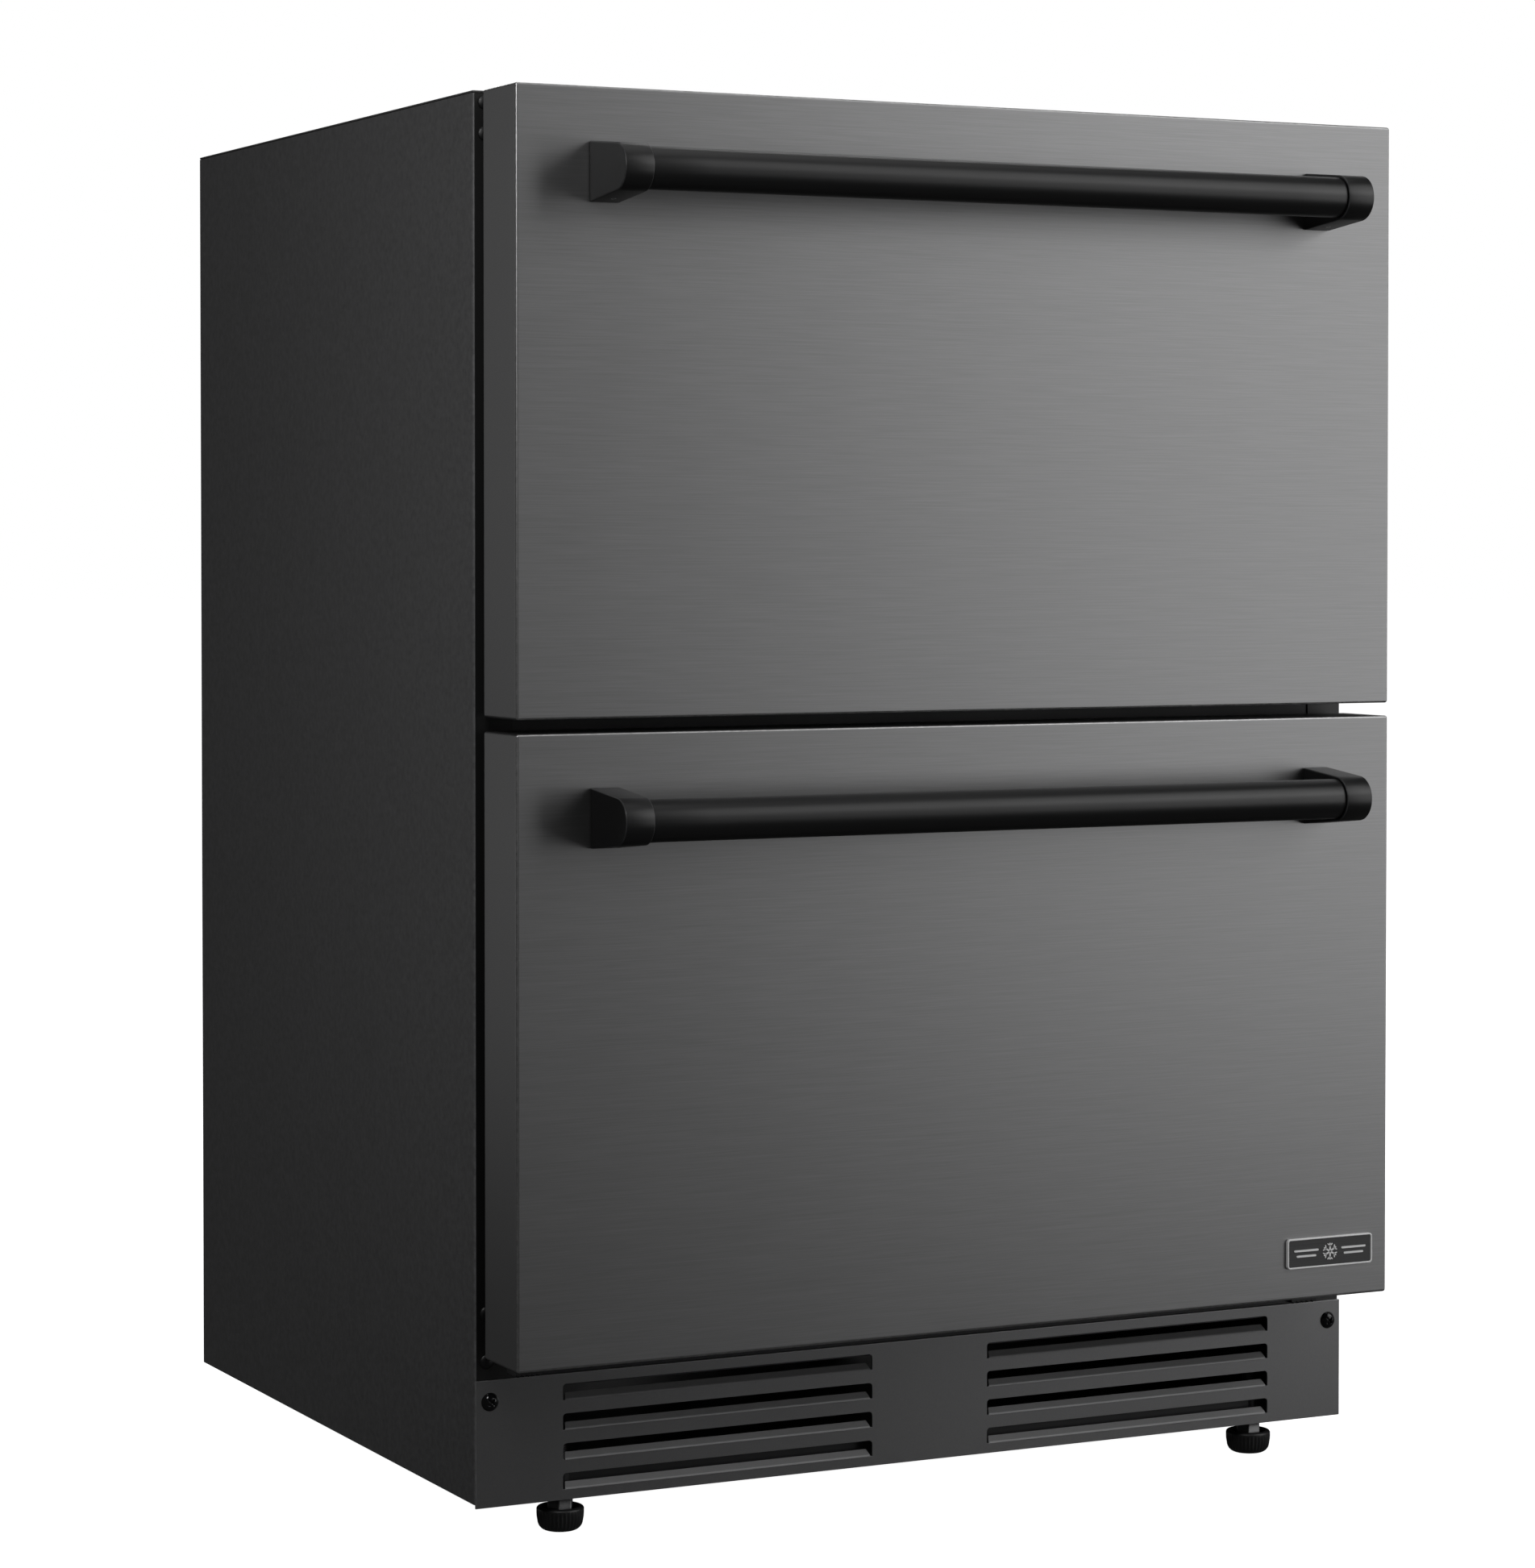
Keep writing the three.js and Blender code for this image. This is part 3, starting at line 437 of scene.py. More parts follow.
def frontSkin(node, body, s):
    # rounded rectangles stacked from the middle of the face, over the fold, down the return,
    # round the hem and back along the inside of the face
    lo, hi, half, centre = boxFace(node, "y")
    t, fold, hemRound, ease = s["sheet"], s["fold"], s["hemRound"], s["ease"]
    a = np.linspace(0, np.pi / 2, 11)
    face = [[fold + s["flat"], lo.y, 0], [fold + ease, lo.y, 0]]
    bend = np.stack([fold * (1 - np.sin(a)), lo.y + fold * (1 - np.cos(a)), np.sin(2 * a) ** 2], -1)
    wall = [[0, lo.y + fold + ease, 0], [0, hi.y - hemRound - ease, 0]]
    hem = np.stack([hemRound * (1 - np.cos(a)), hi.y - hemRound * (1 - np.sin(a)),
                    s["hemWearHighlight"] * np.sin(2 * a)], -1)
    lip = [[s["hem"], hi.y, 0], [s["hem"], hi.y - t, 0]]
    inside = [[t, hi.y - t, 0], [t, lo.y + t, 0], [t + s["flat"], lo.y + t, 0]]
    stations = np.concatenate([face, bend, wall, hem, lip, inside])
    skin = stackedRects("y", centre, half, s["corner"], stations)
    # the folds and hem get wear and a painted highlight, the upright folds the most
    fromEnd = half[0] - np.abs(skin["points"][:, 0] - centre[0])
    skin["wear"] = skin["wear"] * np.where(fromEnd < 2 * s["fold"], 1.0, s["levelWearHighlight"])
    makePiece(node + "_folded", [skin], finishes["brushedSkin"], body, [node])


for drawer in ("upper", "lower"):
    frontSkin(drawer + "_front_skin", drawer + "_drawer", skinSet)
print("drawer fronts ready")


handleSet = {
    "rim": 0.7 * mm,
    "rimWearHighlight": 0.8,
    "footRound": 1.0 * mm,
    "noseSteps": 40,
    "barSides": 96,
    "barSteps": 14,
    "barRim": 0.5 * mm,
    "barHold": 0.6 * mm,   # how far the flat of a bar's end is drawn in past its rim
    "screwRadius": 1.7 * mm,
    "screwBack": 13 * mm,  # from the drawer's face
    "socket": 0.5,         # out to the hexagon's corners, as a share of the screw's radius
    "socketDepth": 0.35,
}


def postOutline(reach, halfHeight, radius, s):
    # from the flat foot two tangents run to a round nose; the foot lies at u = 0, the nose at -u
    corner = math.atan2(halfHeight, reach)
    touch = corner + math.acos(radius / math.hypot(reach, halfHeight))
    nose = arc((-reach, 0), radius, math.degrees(touch), 360 - math.degrees(touch), s["noseSteps"])
    noseNormal = (nose - [-reach, 0]) / radius
    small = s["footRound"]
    turns = np.linspace(0, 1, rimSteps)[:, None]
    topNormal = unitRows((1 - turns) * [1, 0] + turns * noseNormal[0])
    bottomNormal = unitRows((1 - turns) * noseNormal[-1] + turns * [1, 0])
    footTop = np.array([-small, halfHeight - small]) + small * topNormal
    footBottom = np.array([-small, small - halfHeight]) + small * bottomNormal
    outline = np.concatenate([footTop, nose, footBottom])
    return outline, np.concatenate([topNormal, noseNormal, bottomNormal])


def handlePost(node, body, barCentre, s):
    lo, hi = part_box(node)
    halfHeight = (hi.z - lo.z) / 2
    footY = hi.y
    radius = barCentre[0] - lo.y
    outline, normal = postOutline(footY - barCentre[0], halfHeight, radius, s)
    stations = edgeStations(lo.x, hi.x, s["rim"])
    # the rims get wear and a painted highlight
    stations[:, 2] *= s["rimWearHighlight"]
    shape = loftedOutline("x", outline, normal, stations, (footY, barCentre[1]))
    makePiece(node + "_moulded", [shape], finishes["satinBlack"], body, [node], sharp=50)
    setScrew(node, body, (lo.x + hi.x) / 2, footY, lo.z, normal[-rimSteps - 1], s)


def setScrew(node, body, x, footY, footZ, slope, s):
    # a hexagon-socket screw in the sloping underside, near the foot
    down = Vector((0, slope[0], slope[1])).normalized()
    across = Vector((1, 0, 0))
    forward = down.cross(across)
    radius, back, deep = s["screwRadius"], s["screwBack"], s["socketDepth"]
    seat = np.array(Vector((x, footY - back, footZ + back * abs(slope[0] / slope[1]))))
    angle = np.linspace(0, 2 * np.pi, 30, endpoint=False)
    sixth = np.pi / 6
    hexRadius = s["socket"] * np.cos(sixth) / np.cos((angle % (2 * sixth)) - sixth)
    # height and ring radius, both as shares of the screw's radius: socket, chamfer, then shank
    rows = [(-deep, hexRadius * 0.02), (-deep, hexRadius), (0.05, hexRadius),
            (0.12, 0.86), (0.0, 1.0), (-0.5, 1.0)]
    rings = [seat + np.outer(np.cos(angle) * ring * radius, across)
             + np.outer(np.sin(angle) * ring * radius, forward)
             + np.array(down) * height * radius for height, ring in rows]
    screw = patch(np.array(rings), closeCols=True, caps=(True, True))
    makePiece(node + "_set_screw", [screw], finishes["screwZinc"], body)


def handleBar(node, body, s):
    # a round bar whose far ends are drawn in a little, so a dark joint shows against the posts
    lo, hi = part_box(node)
    centre = ((lo.y + hi.y) / 2, (lo.z + hi.z) / 2)
    radius = (hi.z - lo.z) / 2
    angle = np.linspace(0, 2 * np.pi, s["barSides"], endpoint=False)
    normal = np.stack([np.cos(angle), np.sin(angle)], -1)
    stations = edgeStations(lo.x, hi.x, s["barRim"], hold=s["barHold"])
    first, last = np.split(stations, 2)
    middle = np.linspace(lo.x, hi.x, s["barSteps"])[1:-1]
    stations = np.concatenate([first, np.stack([middle * 0, middle, middle * 0], -1), last])
    shape = loftedOutline("x", normal * radius, normal, stations, centre)
    makePiece(node + "_turned", [shape], finishes["satinBlack"], body, [node], sharp=50)
    return centre


for drawer in ("upper", "lower"):
    barCentre = handleBar(drawer + "_handle_bar", drawer + "_drawer", handleSet)
    for side in ("left", "right"):
        handlePost(drawer + "_handle_post_" + side, drawer + "_drawer", barCentre, handleSet)
print("handles ready")


sheetSet = {
    "sheet": 1.2 * mm,
    "fold": 1.35 * mm,
    "rearFlange": 12 * mm,
    "topRim": 0.45 * mm,
    "topHold": 1.5 * mm,
    "topCorner": 1.6 * mm,
    "border": 34 * mm,     # flat edge of the rear panel
    "rearCorner": 3 * mm,
    "rearRim": 0.3 * mm,
    "slope": 9 * mm,       # from the border down to the middle
    "press": 0.5 * mm,
    "groove": 0.6 * mm,
    "stripHeight": 4.4 * mm,
    "stripGap": 0.4 * mm,
    "stripSide": 1.7 * mm,
    "stripRound": 0.6 * mm,
}


def sidePanel(node, side, s):
    # front flange, side and rear flange folded from one sheet, carried straight up
    lo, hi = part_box(node)
    inner, outer = (lo.x, hi.x) if side > 0 else (hi.x, lo.x)
    rear = outer - side * s["rearFlange"]
    corners = [(inner, lo.y), (outer, lo.y), (outer, hi.y), (rear, hi.y)]
    if side < 0:
        corners = corners[::-1]
    stations = np.linspace(lo.z, hi.z, 12)
    panel = sheetAlong("z", corners, s["fold"], s["sheet"], stations)
    # the front flange lies in the shade of the drawers, and that shade is painted on it in near-black
    x, y = panel["points"][:, 0], panel["points"][:, 1]
    flange = (y < lo.y + 0.1 * mm) & (np.abs(x) < abs(outer) - s["fold"] + 1e-6)
    panel["wear"] = np.where(flange, -1.0, panel["wear"])
    makePiece(node + "_folded", [panel], finishes["sideSheet"], "cabinet", [node])


def topPanel(node, s):
    # a plain slab with both rims rounded
    lo, hi, half, centre = boxFace(node, "z")
    stations = edgeStations(lo.z, hi.z, s["topRim"], hold=s["topHold"])
    top = stackedRects("z", centre, half, s["topCorner"], stations)
    makePiece(node + "_sheet", [top], finishes["sideSheet"], "cabinet", [node])


def rearPanel(node, s):
    # a flat border, a pressed groove, and a broad middle a little lower than the border
    lo, hi, half, centre = boxFace(node, "y")
    t = np.linspace(0, 1, 13)
    dip = s["press"] * (0.5 - 0.5 * np.cos(np.pi * t)) + s["groove"] * np.sin(np.pi * t) ** 2
    pressed = np.stack([s["border"] + s["slope"] * t, hi.y - dip, 0 * t], -1)
    rim, flat = s["rearRim"], s["border"] + s["slope"] + 2 * mm
    # the rounded rim gets wear and a painted highlight
    edge = [[0, lo.y, 0], [0, hi.y - rim, 0], [rim, hi.y, 0.5], [2 * mm, hi.y, 0]]
    middle = [[flat, hi.y - s["press"], 0], [flat, lo.y, 0]]
    stations = np.concatenate([edge, pressed, middle])
    shell = stackedRects("y", centre, half, s["rearCorner"], stations[:-1], caps=(False, True))
    under = stackedRects("y", centre, half, s["rearCorner"], stations[[-1, 0]], caps=(True, False))
    makePiece(node + "_pressed", [shell, under], finishes["sideSheet"], "cabinet", [node])


def throatStrip(liner, faceFrame, s):
    # a snap-in bead that closes the step between the liner's ceiling and the frame's opening
    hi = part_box(liner)[1]
    frameLo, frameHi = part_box(faceFrame)
    low, high = hi.z + s["stripGap"], hi.z + s["stripHeight"]
    half = ((frameHi.y - frameLo.y + 0.2 * mm) / 2, (high - low) / 2)
    centre = (frameLo.y + half[0], (high + low) / 2)
    reach = hi.x - s["stripSide"]
    stations = edgeStations(-reach, reach, 0.4 * mm, hold=0.1 * mm)
    strip = stackedRects("x", centre, half, s["stripRound"], stations)
    makePiece("throat_strip", [strip], finishes["darkPlastic"], "cabinet")


sidePanel("side_panel_left", -1, sheetSet)
sidePanel("side_panel_right", 1, sheetSet)
topPanel("top_panel", sheetSet)
rearPanel("rear_panel", sheetSet)
throatStrip("liner", "face_frame", sheetSet)
print("cabinet sheets ready")


kickSet = {
    "sheet": 1.2 * mm,
    "rows": 4,
    "pitch": 17.45 * mm,
    "lowestBend": 26.5 * mm,
    "height": 9.5 * mm,
    "reach": 3.1 * mm,
    "corner": 2.2 * mm,
    "groups": ((-243.5 * mm, -39.5 * mm), (40 * mm, 244 * mm)),
    "rim": 0.6 * mm,
    "rimWearHighlight": 0.8,
    "lipRoot": 0.7 * mm,   # how far a lip starts below its bend
    "lipBend": 1.1 * mm,
    "lipNotch": 1.2 * mm,
    "lipTaper": 1.5 * mm,
    "lipSteps": 26,
    "edgeRound": 0.2 * mm,
}


def louvredPlate(node, s):
    # a grid over the plate: the row line above a slot dips along a quarter circle near the slot's
    # ends, and the cells inside the slots are left out
    lo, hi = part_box(node)
    bends = s["lowestBend"] + s["pitch"] * np.arange(s["rows"])
    tops = bends + s["height"]
    corner = s["corner"]
    ease = corner * (1 - np.cos(np.linspace(0, np.pi / 2, 7)))
    rim = s["rim"]
    (firstLeft, firstRight), (lastLeft, lastRight) = s["groups"]
    solid = ((lo.x + rim, firstLeft), (firstRight, lastLeft), (lastRight, hi.x - rim))
    xs = [[lo.x, hi.x]] + [np.linspace(start, end, 4) for start, end in solid]
    for left, right in s["groups"]:
        xs += [left + ease, np.linspace(left + corner, right - corner, 24), right - ease[::-1]]
    x = np.unique(np.round(np.concatenate(xs), 7))
    zs, kinds = [lo.z], ["edge"]
    for bend, top in zip(bends, tops):
        zs += [bend, (bend + top) / 2, top]
        kinds += ["bend", "slot", "top"]
    zs += [hi.z - rim, hi.z]
    kinds += ["edge", "edge"]
    grid = np.repeat(np.array(zs)[:, None], len(x), axis=1)
    drop = np.zeros(len(x))
    for left, right in s["groups"]:
        within = (x > left - 1e-7) & (x < right + 1e-7)
        fromEnd = np.minimum(x - left, right - x)
        near = within & (fromEnd < corner)
        drop[near] = corner - np.sqrt(np.maximum(corner**2 - (corner - np.maximum(fromEnd[near], 0)) ** 2, 0))
    for row, kind in enumerate(kinds):
        if kind == "top":
            grid[row] -= drop
        if kind == "slot":
            grid[row] = (grid[row - 1] + grid[row + 1] - drop) / 2
    points = place("y", x[None, :], grid, np.full_like(grid, lo.y + s["sheet"]))
    quads = gridFaces(len(zs), len(x)).reshape(len(zs) - 1, len(x) - 1, 4)
    middle = (x[:-1] + x[1:]) / 2
    inside = np.any([(middle > left) & (middle < right) for left, right in s["groups"]], axis=0)
    keep = ~(np.isin(kinds[:-1], ("bend", "slot"))[:, None] & inside)
    wearAndLightLevel = np.zeros(points.shape[:2])
    # wear and a painted highlight along the plate's rims
    wearAndLightLevel[:, [0, -1]] = s["rimWearHighlight"]
    wearAndLightLevel[-1] = s["rimWearHighlight"]
    return {"points": points.reshape(-1, 3), "faces": quads[keep].tolist(), "wear": wearAndLightLevel.reshape(-1)}


def louvreLips(node, s):
    # each lip leaves the plate on a small bend and runs back and up at 45 degrees; its ends slant in
    back, reach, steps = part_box(node)[0].y + s["sheet"], s["reach"], s["lipSteps"]
    line, _ = foldLine([(back, -s["lipRoot"]), (back, 0), (back + reach, reach)], s["lipBend"], 7)
    along = np.concatenate([[0], np.cumsum(np.linalg.norm(np.diff(line, axis=0), axis=1))])
    along /= along[-1]
    # wear and a painted highlight along each lip's top edge
    wear = np.where(along > 0.93, s["rimWearHighlight"], 0.0)
    spread = np.linspace(0, 1, steps)[None, :]
    taper = s["lipNotch"] + s["lipTaper"] * along[:, None]
    lips = []
    for left, right in s["groups"]:
        x = (left + taper) * (1 - spread) + (right - taper) * spread
        for row in range(s["rows"]):
            bend = s["lowestBend"] + row * s["pitch"]
            points = place("x", np.repeat(line[:, :1], steps, 1), np.repeat(line[:, 1:] + bend, steps, 1), x)
            lips.append(patch(points, wear=wear))
    return lips


def kickPlate(node, s):
    plate = makePiece(node + "_louvred", [louvredPlate(node, s)], finishes["kickBlack"], "cabinet",
                      [node], sharp=45, closed=False)
    lips = makePiece(node + "_lips", louvreLips(node, s), finishes["kickLip"], "cabinet",
                     sharp=45, closed=False)
    for piece in (plate, lips):
        thicken(piece, s["sheet"], s["edgeRound"])


kickPlate("kick_plate", kickSet)
print("kick plate ready")


screwSet = {
    "radius": 5.4 * mm,
    "height": 2.7 * mm,
    "turn": 42,            # degrees the cross is turned
    "slotHalf": 0.65 * mm,
    "slotReach": 2.7 * mm,
    "slotDepth": 1.5 * mm,
    "seat": 2.6 * mm,      # from the front of its box to the underside of the head
    "shank": 2.1 * mm,
    "rings": 34,
    "sides": 72,
}


def phillipsScrew(node, s):
    # a dome, height times (1 - (r/R)^3.2), with a cross sunk into it whose arms taper to a point
    lo, hi, _, (x0, z0) = boxFace(node, "y")
    seat, shank, sides = lo.y + s["seat"], s["shank"], s["sides"]
    ring = np.linspace(0, 1, s["rings"]) ** 0.8
    angle = np.linspace(0, 2 * np.pi, sides, endpoint=False)
    r, a = np.meshgrid(ring * s["radius"], angle, indexing="ij")
    u, v = r * np.cos(a), r * np.sin(a)
    turned = math.radians(s["turn"])
    cu, cv = u * math.cos(turned) + v * math.sin(turned), -u * math.sin(turned) + v * math.cos(turned)

    def arm(p, q):
        across = np.clip(1 - np.abs(q) / s["slotHalf"], 0, 1)
        along = np.clip(1 - np.abs(p) / s["slotReach"], 0, 1)
        return np.sqrt(np.clip(across * 2.5, 0, 1)) * np.clip(along * 2.2, 0, 1)

    cross = np.maximum(arm(cu, cv), arm(cv, cu))
    height = s["height"] * (1 - np.clip(r / s["radius"], 0, 1) ** 3.2) - s["slotDepth"] * cross
    head = patch(place("y", x0 + u, z0 + v, seat - height), closeCols=True)
    profile = [(s["radius"], seat), (shank, seat + 0.1 * mm), (shank, hi.y)]
    under = turnedPatch("y", (x0, z0), profile, sides)
    head["points"][:sides] = (x0, seat - s["height"] + s["slotDepth"], z0)
    under["faces"] = [f for f in under["faces"] if not (len(f) > 4 and 0 in f)]
    makePiece(node + "_pan_head", [head, under], finishes["screwBlack"], "cabinet",
              [node], sharp=60)


plugSet = {
    "radius": 4.25 * mm,
    "dome": 1.3 * mm,
    "proud": 0.25 * mm,
    "sides": 40,
    "x": 291 * mm,
    "heights": (831.3 * mm, 813.4 * mm, 133.1 * mm, 105.2 * mm),
}


def flangePlug(name, x, z, frontY, s):
    # a low dome with a rolled rim
    t = np.linspace(0, np.pi / 2, 9)
    dome = np.stack([s["radius"] * np.sin(t), frontY - s["proud"] - s["dome"] * np.cos(t) ** 1.2], -1)
    rim = [(s["radius"], frontY + 0.05 * mm)]
    shape = turnedPatch("y", (x, z), np.concatenate([dome, rim]), s["sides"])
    makePiece(name, [shape], finishes["plugBlack"], "cabinet", sharp=60)


clipSet = {
    "spans": (("left", -288 * mm, -272 * mm), ("right", 239 * mm, 257 * mm)),
    "drop": 6.2 * mm,
    "behindFace": 20 * mm,
    "depth": 14 * mm,
    "ribs": 5,
    "ribWave": 0.45 * mm,
    "edge": 0.8 * mm,
}


def bumperClip(name, left, right, face, s):
    # a moulded bumper under the drawer: a block whose underside waves in shallow ribs
    x = np.linspace(left, right, 64)
    wave = s["ribWave"] * np.cos((x - left) / (right - left) * s["ribs"] * 2 * np.pi)
    top = face[1] - 0.1 * mm
    low = top - s["drop"] + wave
    front, back = face[0] + s["behindFace"], face[0] + s["behindFace"] + s["depth"]
    edge = s["edge"]
    y = np.array([front, front, front + edge, back - edge, back, back])
    z = np.stack([0 * x + top, low + edge, low, low, low + edge, 0 * x + top], -1)
    points = place("x", y[None, :], z, x[:, None])
    makePiece(name, [patch(points, closeCols=True, caps=(True, True))], finishes["plugBlack"], "lower_drawer",
              sharp=40)


for side in ("left", "right"):
    phillipsScrew("kick_screw_" + side, screwSet)
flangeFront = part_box("side_panel_left")[0].y
for number, z in enumerate(plugSet["heights"]):
    for word, side in (("left", -1), ("right", 1)):
        flangePlug(f"flange_plug_{word}_{number + 1}", side * plugSet["x"], z, flangeFront, plugSet)
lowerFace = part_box("lower_front_skin")[0]
for word, left, right in clipSet["spans"]:
    bumperClip("bumper_clip_" + word, left, right, (lowerFace.y, lowerFace.z), clipSet)
print("screws, plugs and clips ready")


footSet = {
    "cup": 14 * mm,
    "ribs": 36,
    "ribDepth": 0.6 * mm,
    "hexHalf": 7 * mm,     # half the width across the flats
    "hexLow": 4.7 * mm,
    "hexTop": 20 * mm,
    "thread": 3.95 * mm,
    "threadSides": 40,
    "pitch": 1.25 * mm,
    "threadDepth": 0.55 * mm,
}


def footCup(node, s):
    # a ribbed cup: the radius falls by the rib depth between ribs, and fades to smooth at rim and base
    centre = boxFace(node, "z")[3]
    r = s["cup"]
    base = arc((r - 6.2 * mm, 5.6 * mm), 5.6 * mm, -90, -12, 10)
    side = [(r - 0.1 * mm, 8.2 * mm), (r, 10.2 * mm)]
    rim = np.concatenate([arc((r - 1.6 * mm, 12.2 * mm), 1.6 * mm, 0, 70, 6),
                          arc((r - 2.2 * mm, 13.2 * mm), 0.8 * mm, 80, 180, 5)])
    inside = [(r - 3.2 * mm, 11 * mm), (r - 3.6 * mm, 5.4 * mm), (6.4 * mm, 4.7 * mm), (4.2 * mm, 4.7 * mm)]
    profile = np.concatenate([[(2 * mm, 0)], base, side, rim, inside])

    def ribs(height, angle, radius):
        risen = np.clip((height - 1.2 * mm) / (2.5 * mm), 0, 1)
        fade = risen * np.clip((12.2 * mm - height) / (1.2 * mm), 0, 1)
        outer = np.clip((radius - (r - 2.4 * mm)) / (0.6 * mm), 0, 1) * (height < 12.5 * mm)
        return -s["ribDepth"] * fade * outer * (0.5 - 0.5 * np.cos(angle * s["ribs"])) ** 0.6

    cup = turnedPatch("z", centre, profile, s["ribs"] * 8, ribs)
    makePiece(node + "_cup", [cup], finishes["footPlastic"], node, [node], sharp=50)


def footStud(node, s):
    # a hexagon below, and above it a thread: the radius follows a triangle wave that climbs one
    # pitch for each turn
    _, hi, _, centre = boxFace(node, "z")
    angle = np.linspace(0, 2 * np.pi, 72, endpoint=False)
    hexRadius = s["hexHalf"] / np.cos((angle % (np.pi / 3)) - np.pi / 6)
    low, top = s["hexLow"], s["hexTop"]
    # height, share of the hexagon's radius, wear and painted highlight
    height, share, wear = np.array([(low, 0.3, 0), (low, 1.0, 0.2), (top - 0.8 * mm, 1.0, 0.2),
                                    (top, 0.9, 0.8), (top, 0.5, 0)]).T
    u = centre[0] + hexRadius * share[:, None] * np.cos(angle)
    v = centre[1] + hexRadius * share[:, None] * np.sin(angle)
    hexagon = patch(place("z", u, v, height[:, None]), closeCols=True, caps=(True, True), wear=wear)
    heights = np.arange(top + 0.1 * mm, hi.z - 1 * mm, s["pitch"] / 8)
    profile = np.stack([np.full_like(heights, s["thread"]), heights], -1)

    def thread(height, turn, radius):
        phase = (height / s["pitch"] - turn / (2 * np.pi)) % 1.0
        return -s["threadDepth"] * np.abs(2 * phase - 1) ** 1.1

    stud = turnedPatch("z", centre, profile, s["threadSides"], thread)
    makePiece(node + "_stud", [hexagon, stud], finishes["studSteel"], node, sharp=55)


for node in ("foot_front_left", "foot_front_right", "foot_rear_left", "foot_rear_right"):
    footCup(node, footSet)
    footStud(node, footSet)
print("feet ready")


badgeSet = {
    "corner": 2.2 * mm,
    "rim": 1.1 * mm,
    "rimRound": 0.35 * mm,
    "fieldDrop": 0.6 * mm,
    "arms": 6,
    "arm": (5.2 * mm, 0.5 * mm),     # half length and half width
    "twig": (1.3 * mm, 0.32 * mm),
    "twigPlace": 3.4 * mm,
    "twigShift": 1.1 * mm,
    "twigLean": 50,
    "bars": ((-1, 7.2 * mm), (1, 9.0 * mm)),     # row and half length
    "barHalf": 0.62 * mm,
    "barPlace": (17.5 * mm, 1.7 * mm),
}


def bar(centre, halfLength, halfWidth, turnDeg, front, back, shift=0.0):
    # a slim raised bar with round ends, turned about the badge's own normal
    length = np.array([halfLength, halfLength])
    u, v = roundedRects(length, np.full(2, halfWidth), np.full(2, halfWidth * 0.98), 5)
    u = u + shift
    c, n = math.cos(math.radians(turnDeg)), math.sin(math.radians(turnDeg))
    x = centre[0] + u * c - v * n
    z = centre[1] + u * n + v * c
    return patch(place("y", x, z, np.array([[back], [front]])), closeCols=True, caps=(True, True))


def badge(node, s):
    # a raised rim round a sunk field, with a six-armed crystal between two pairs of bars
    lo, hi, half, centre = boxFace(node, "y")
    rim, drop, edge = s["rim"], s["fieldDrop"], s["rimRound"]
    a = np.linspace(0, np.pi / 2, 5)
    # the outer rim gets wear and a painted highlight
    outer = np.stack([edge * (1 - np.cos(a)), lo.y + edge * (1 - np.sin(a)), np.sin(2 * a)], -1)
    inner = [[rim - 0.3 * mm, lo.y, 0.5], [rim, lo.y + 0.3 * mm, 0], [rim, hi.y, 0]]
    stations = np.concatenate([[[0, hi.y, 0]], outer, inner])
    ringPatch = stackedRects("y", centre, half, s["corner"], stations, closeRows=True, caps=(False, False))
    makePiece("badge_rim", [ringPatch], finishes["badgeSilver"], "lower_drawer", [node])
    field = stackedRects("y", centre, (half[0] - rim, half[1] - rim), s["corner"] - rim,
                         [[0, hi.y, 0], [0, lo.y + drop, 0], [0.5 * mm, lo.y + drop, 0]])
    makePiece("badge_field", [field], finishes["badgeField"], "lower_drawer")
    motif = []
    front, back = lo.y + 0.15 * mm, lo.y + drop + 0.2 * mm
    apart = 360 / s["arms"]
    for k in range(s["arms"] // 2):
        motif.append(bar(centre, *s["arm"], apart * k + 90, front, back))
    for k in range(s["arms"]):
        angle, reach = math.radians(apart * k + 90), s["twigPlace"]
        tip = (centre[0] + reach * math.cos(angle), centre[1] + reach * math.sin(angle))
        for lean in (-s["twigLean"], s["twigLean"]):
            motif.append(bar(tip, *s["twig"], apart * k + 90 + lean, front, back, s["twigShift"]))
    across, up = s["barPlace"]
    for side in (-1, 1):
        for row, length in s["bars"]:
            spot = (centre[0] + side * across, centre[1] + row * up)
            motif.append(bar(spot, length, s["barHalf"], 0, front, back))
    makePiece("badge_motif", motif, finishes["badgeSilver"], "lower_drawer", sharp=30)


badge("badge", badgeSet)
print("badge ready")


binSet = {
    "wall": 1.5 * mm,
    "corner": 14 * mm,
    "floorRound": 8 * mm,
    "roll": 2.2 * mm,
    "rimIn": 9 * mm,
    "rimDrop": 4 * mm,
}


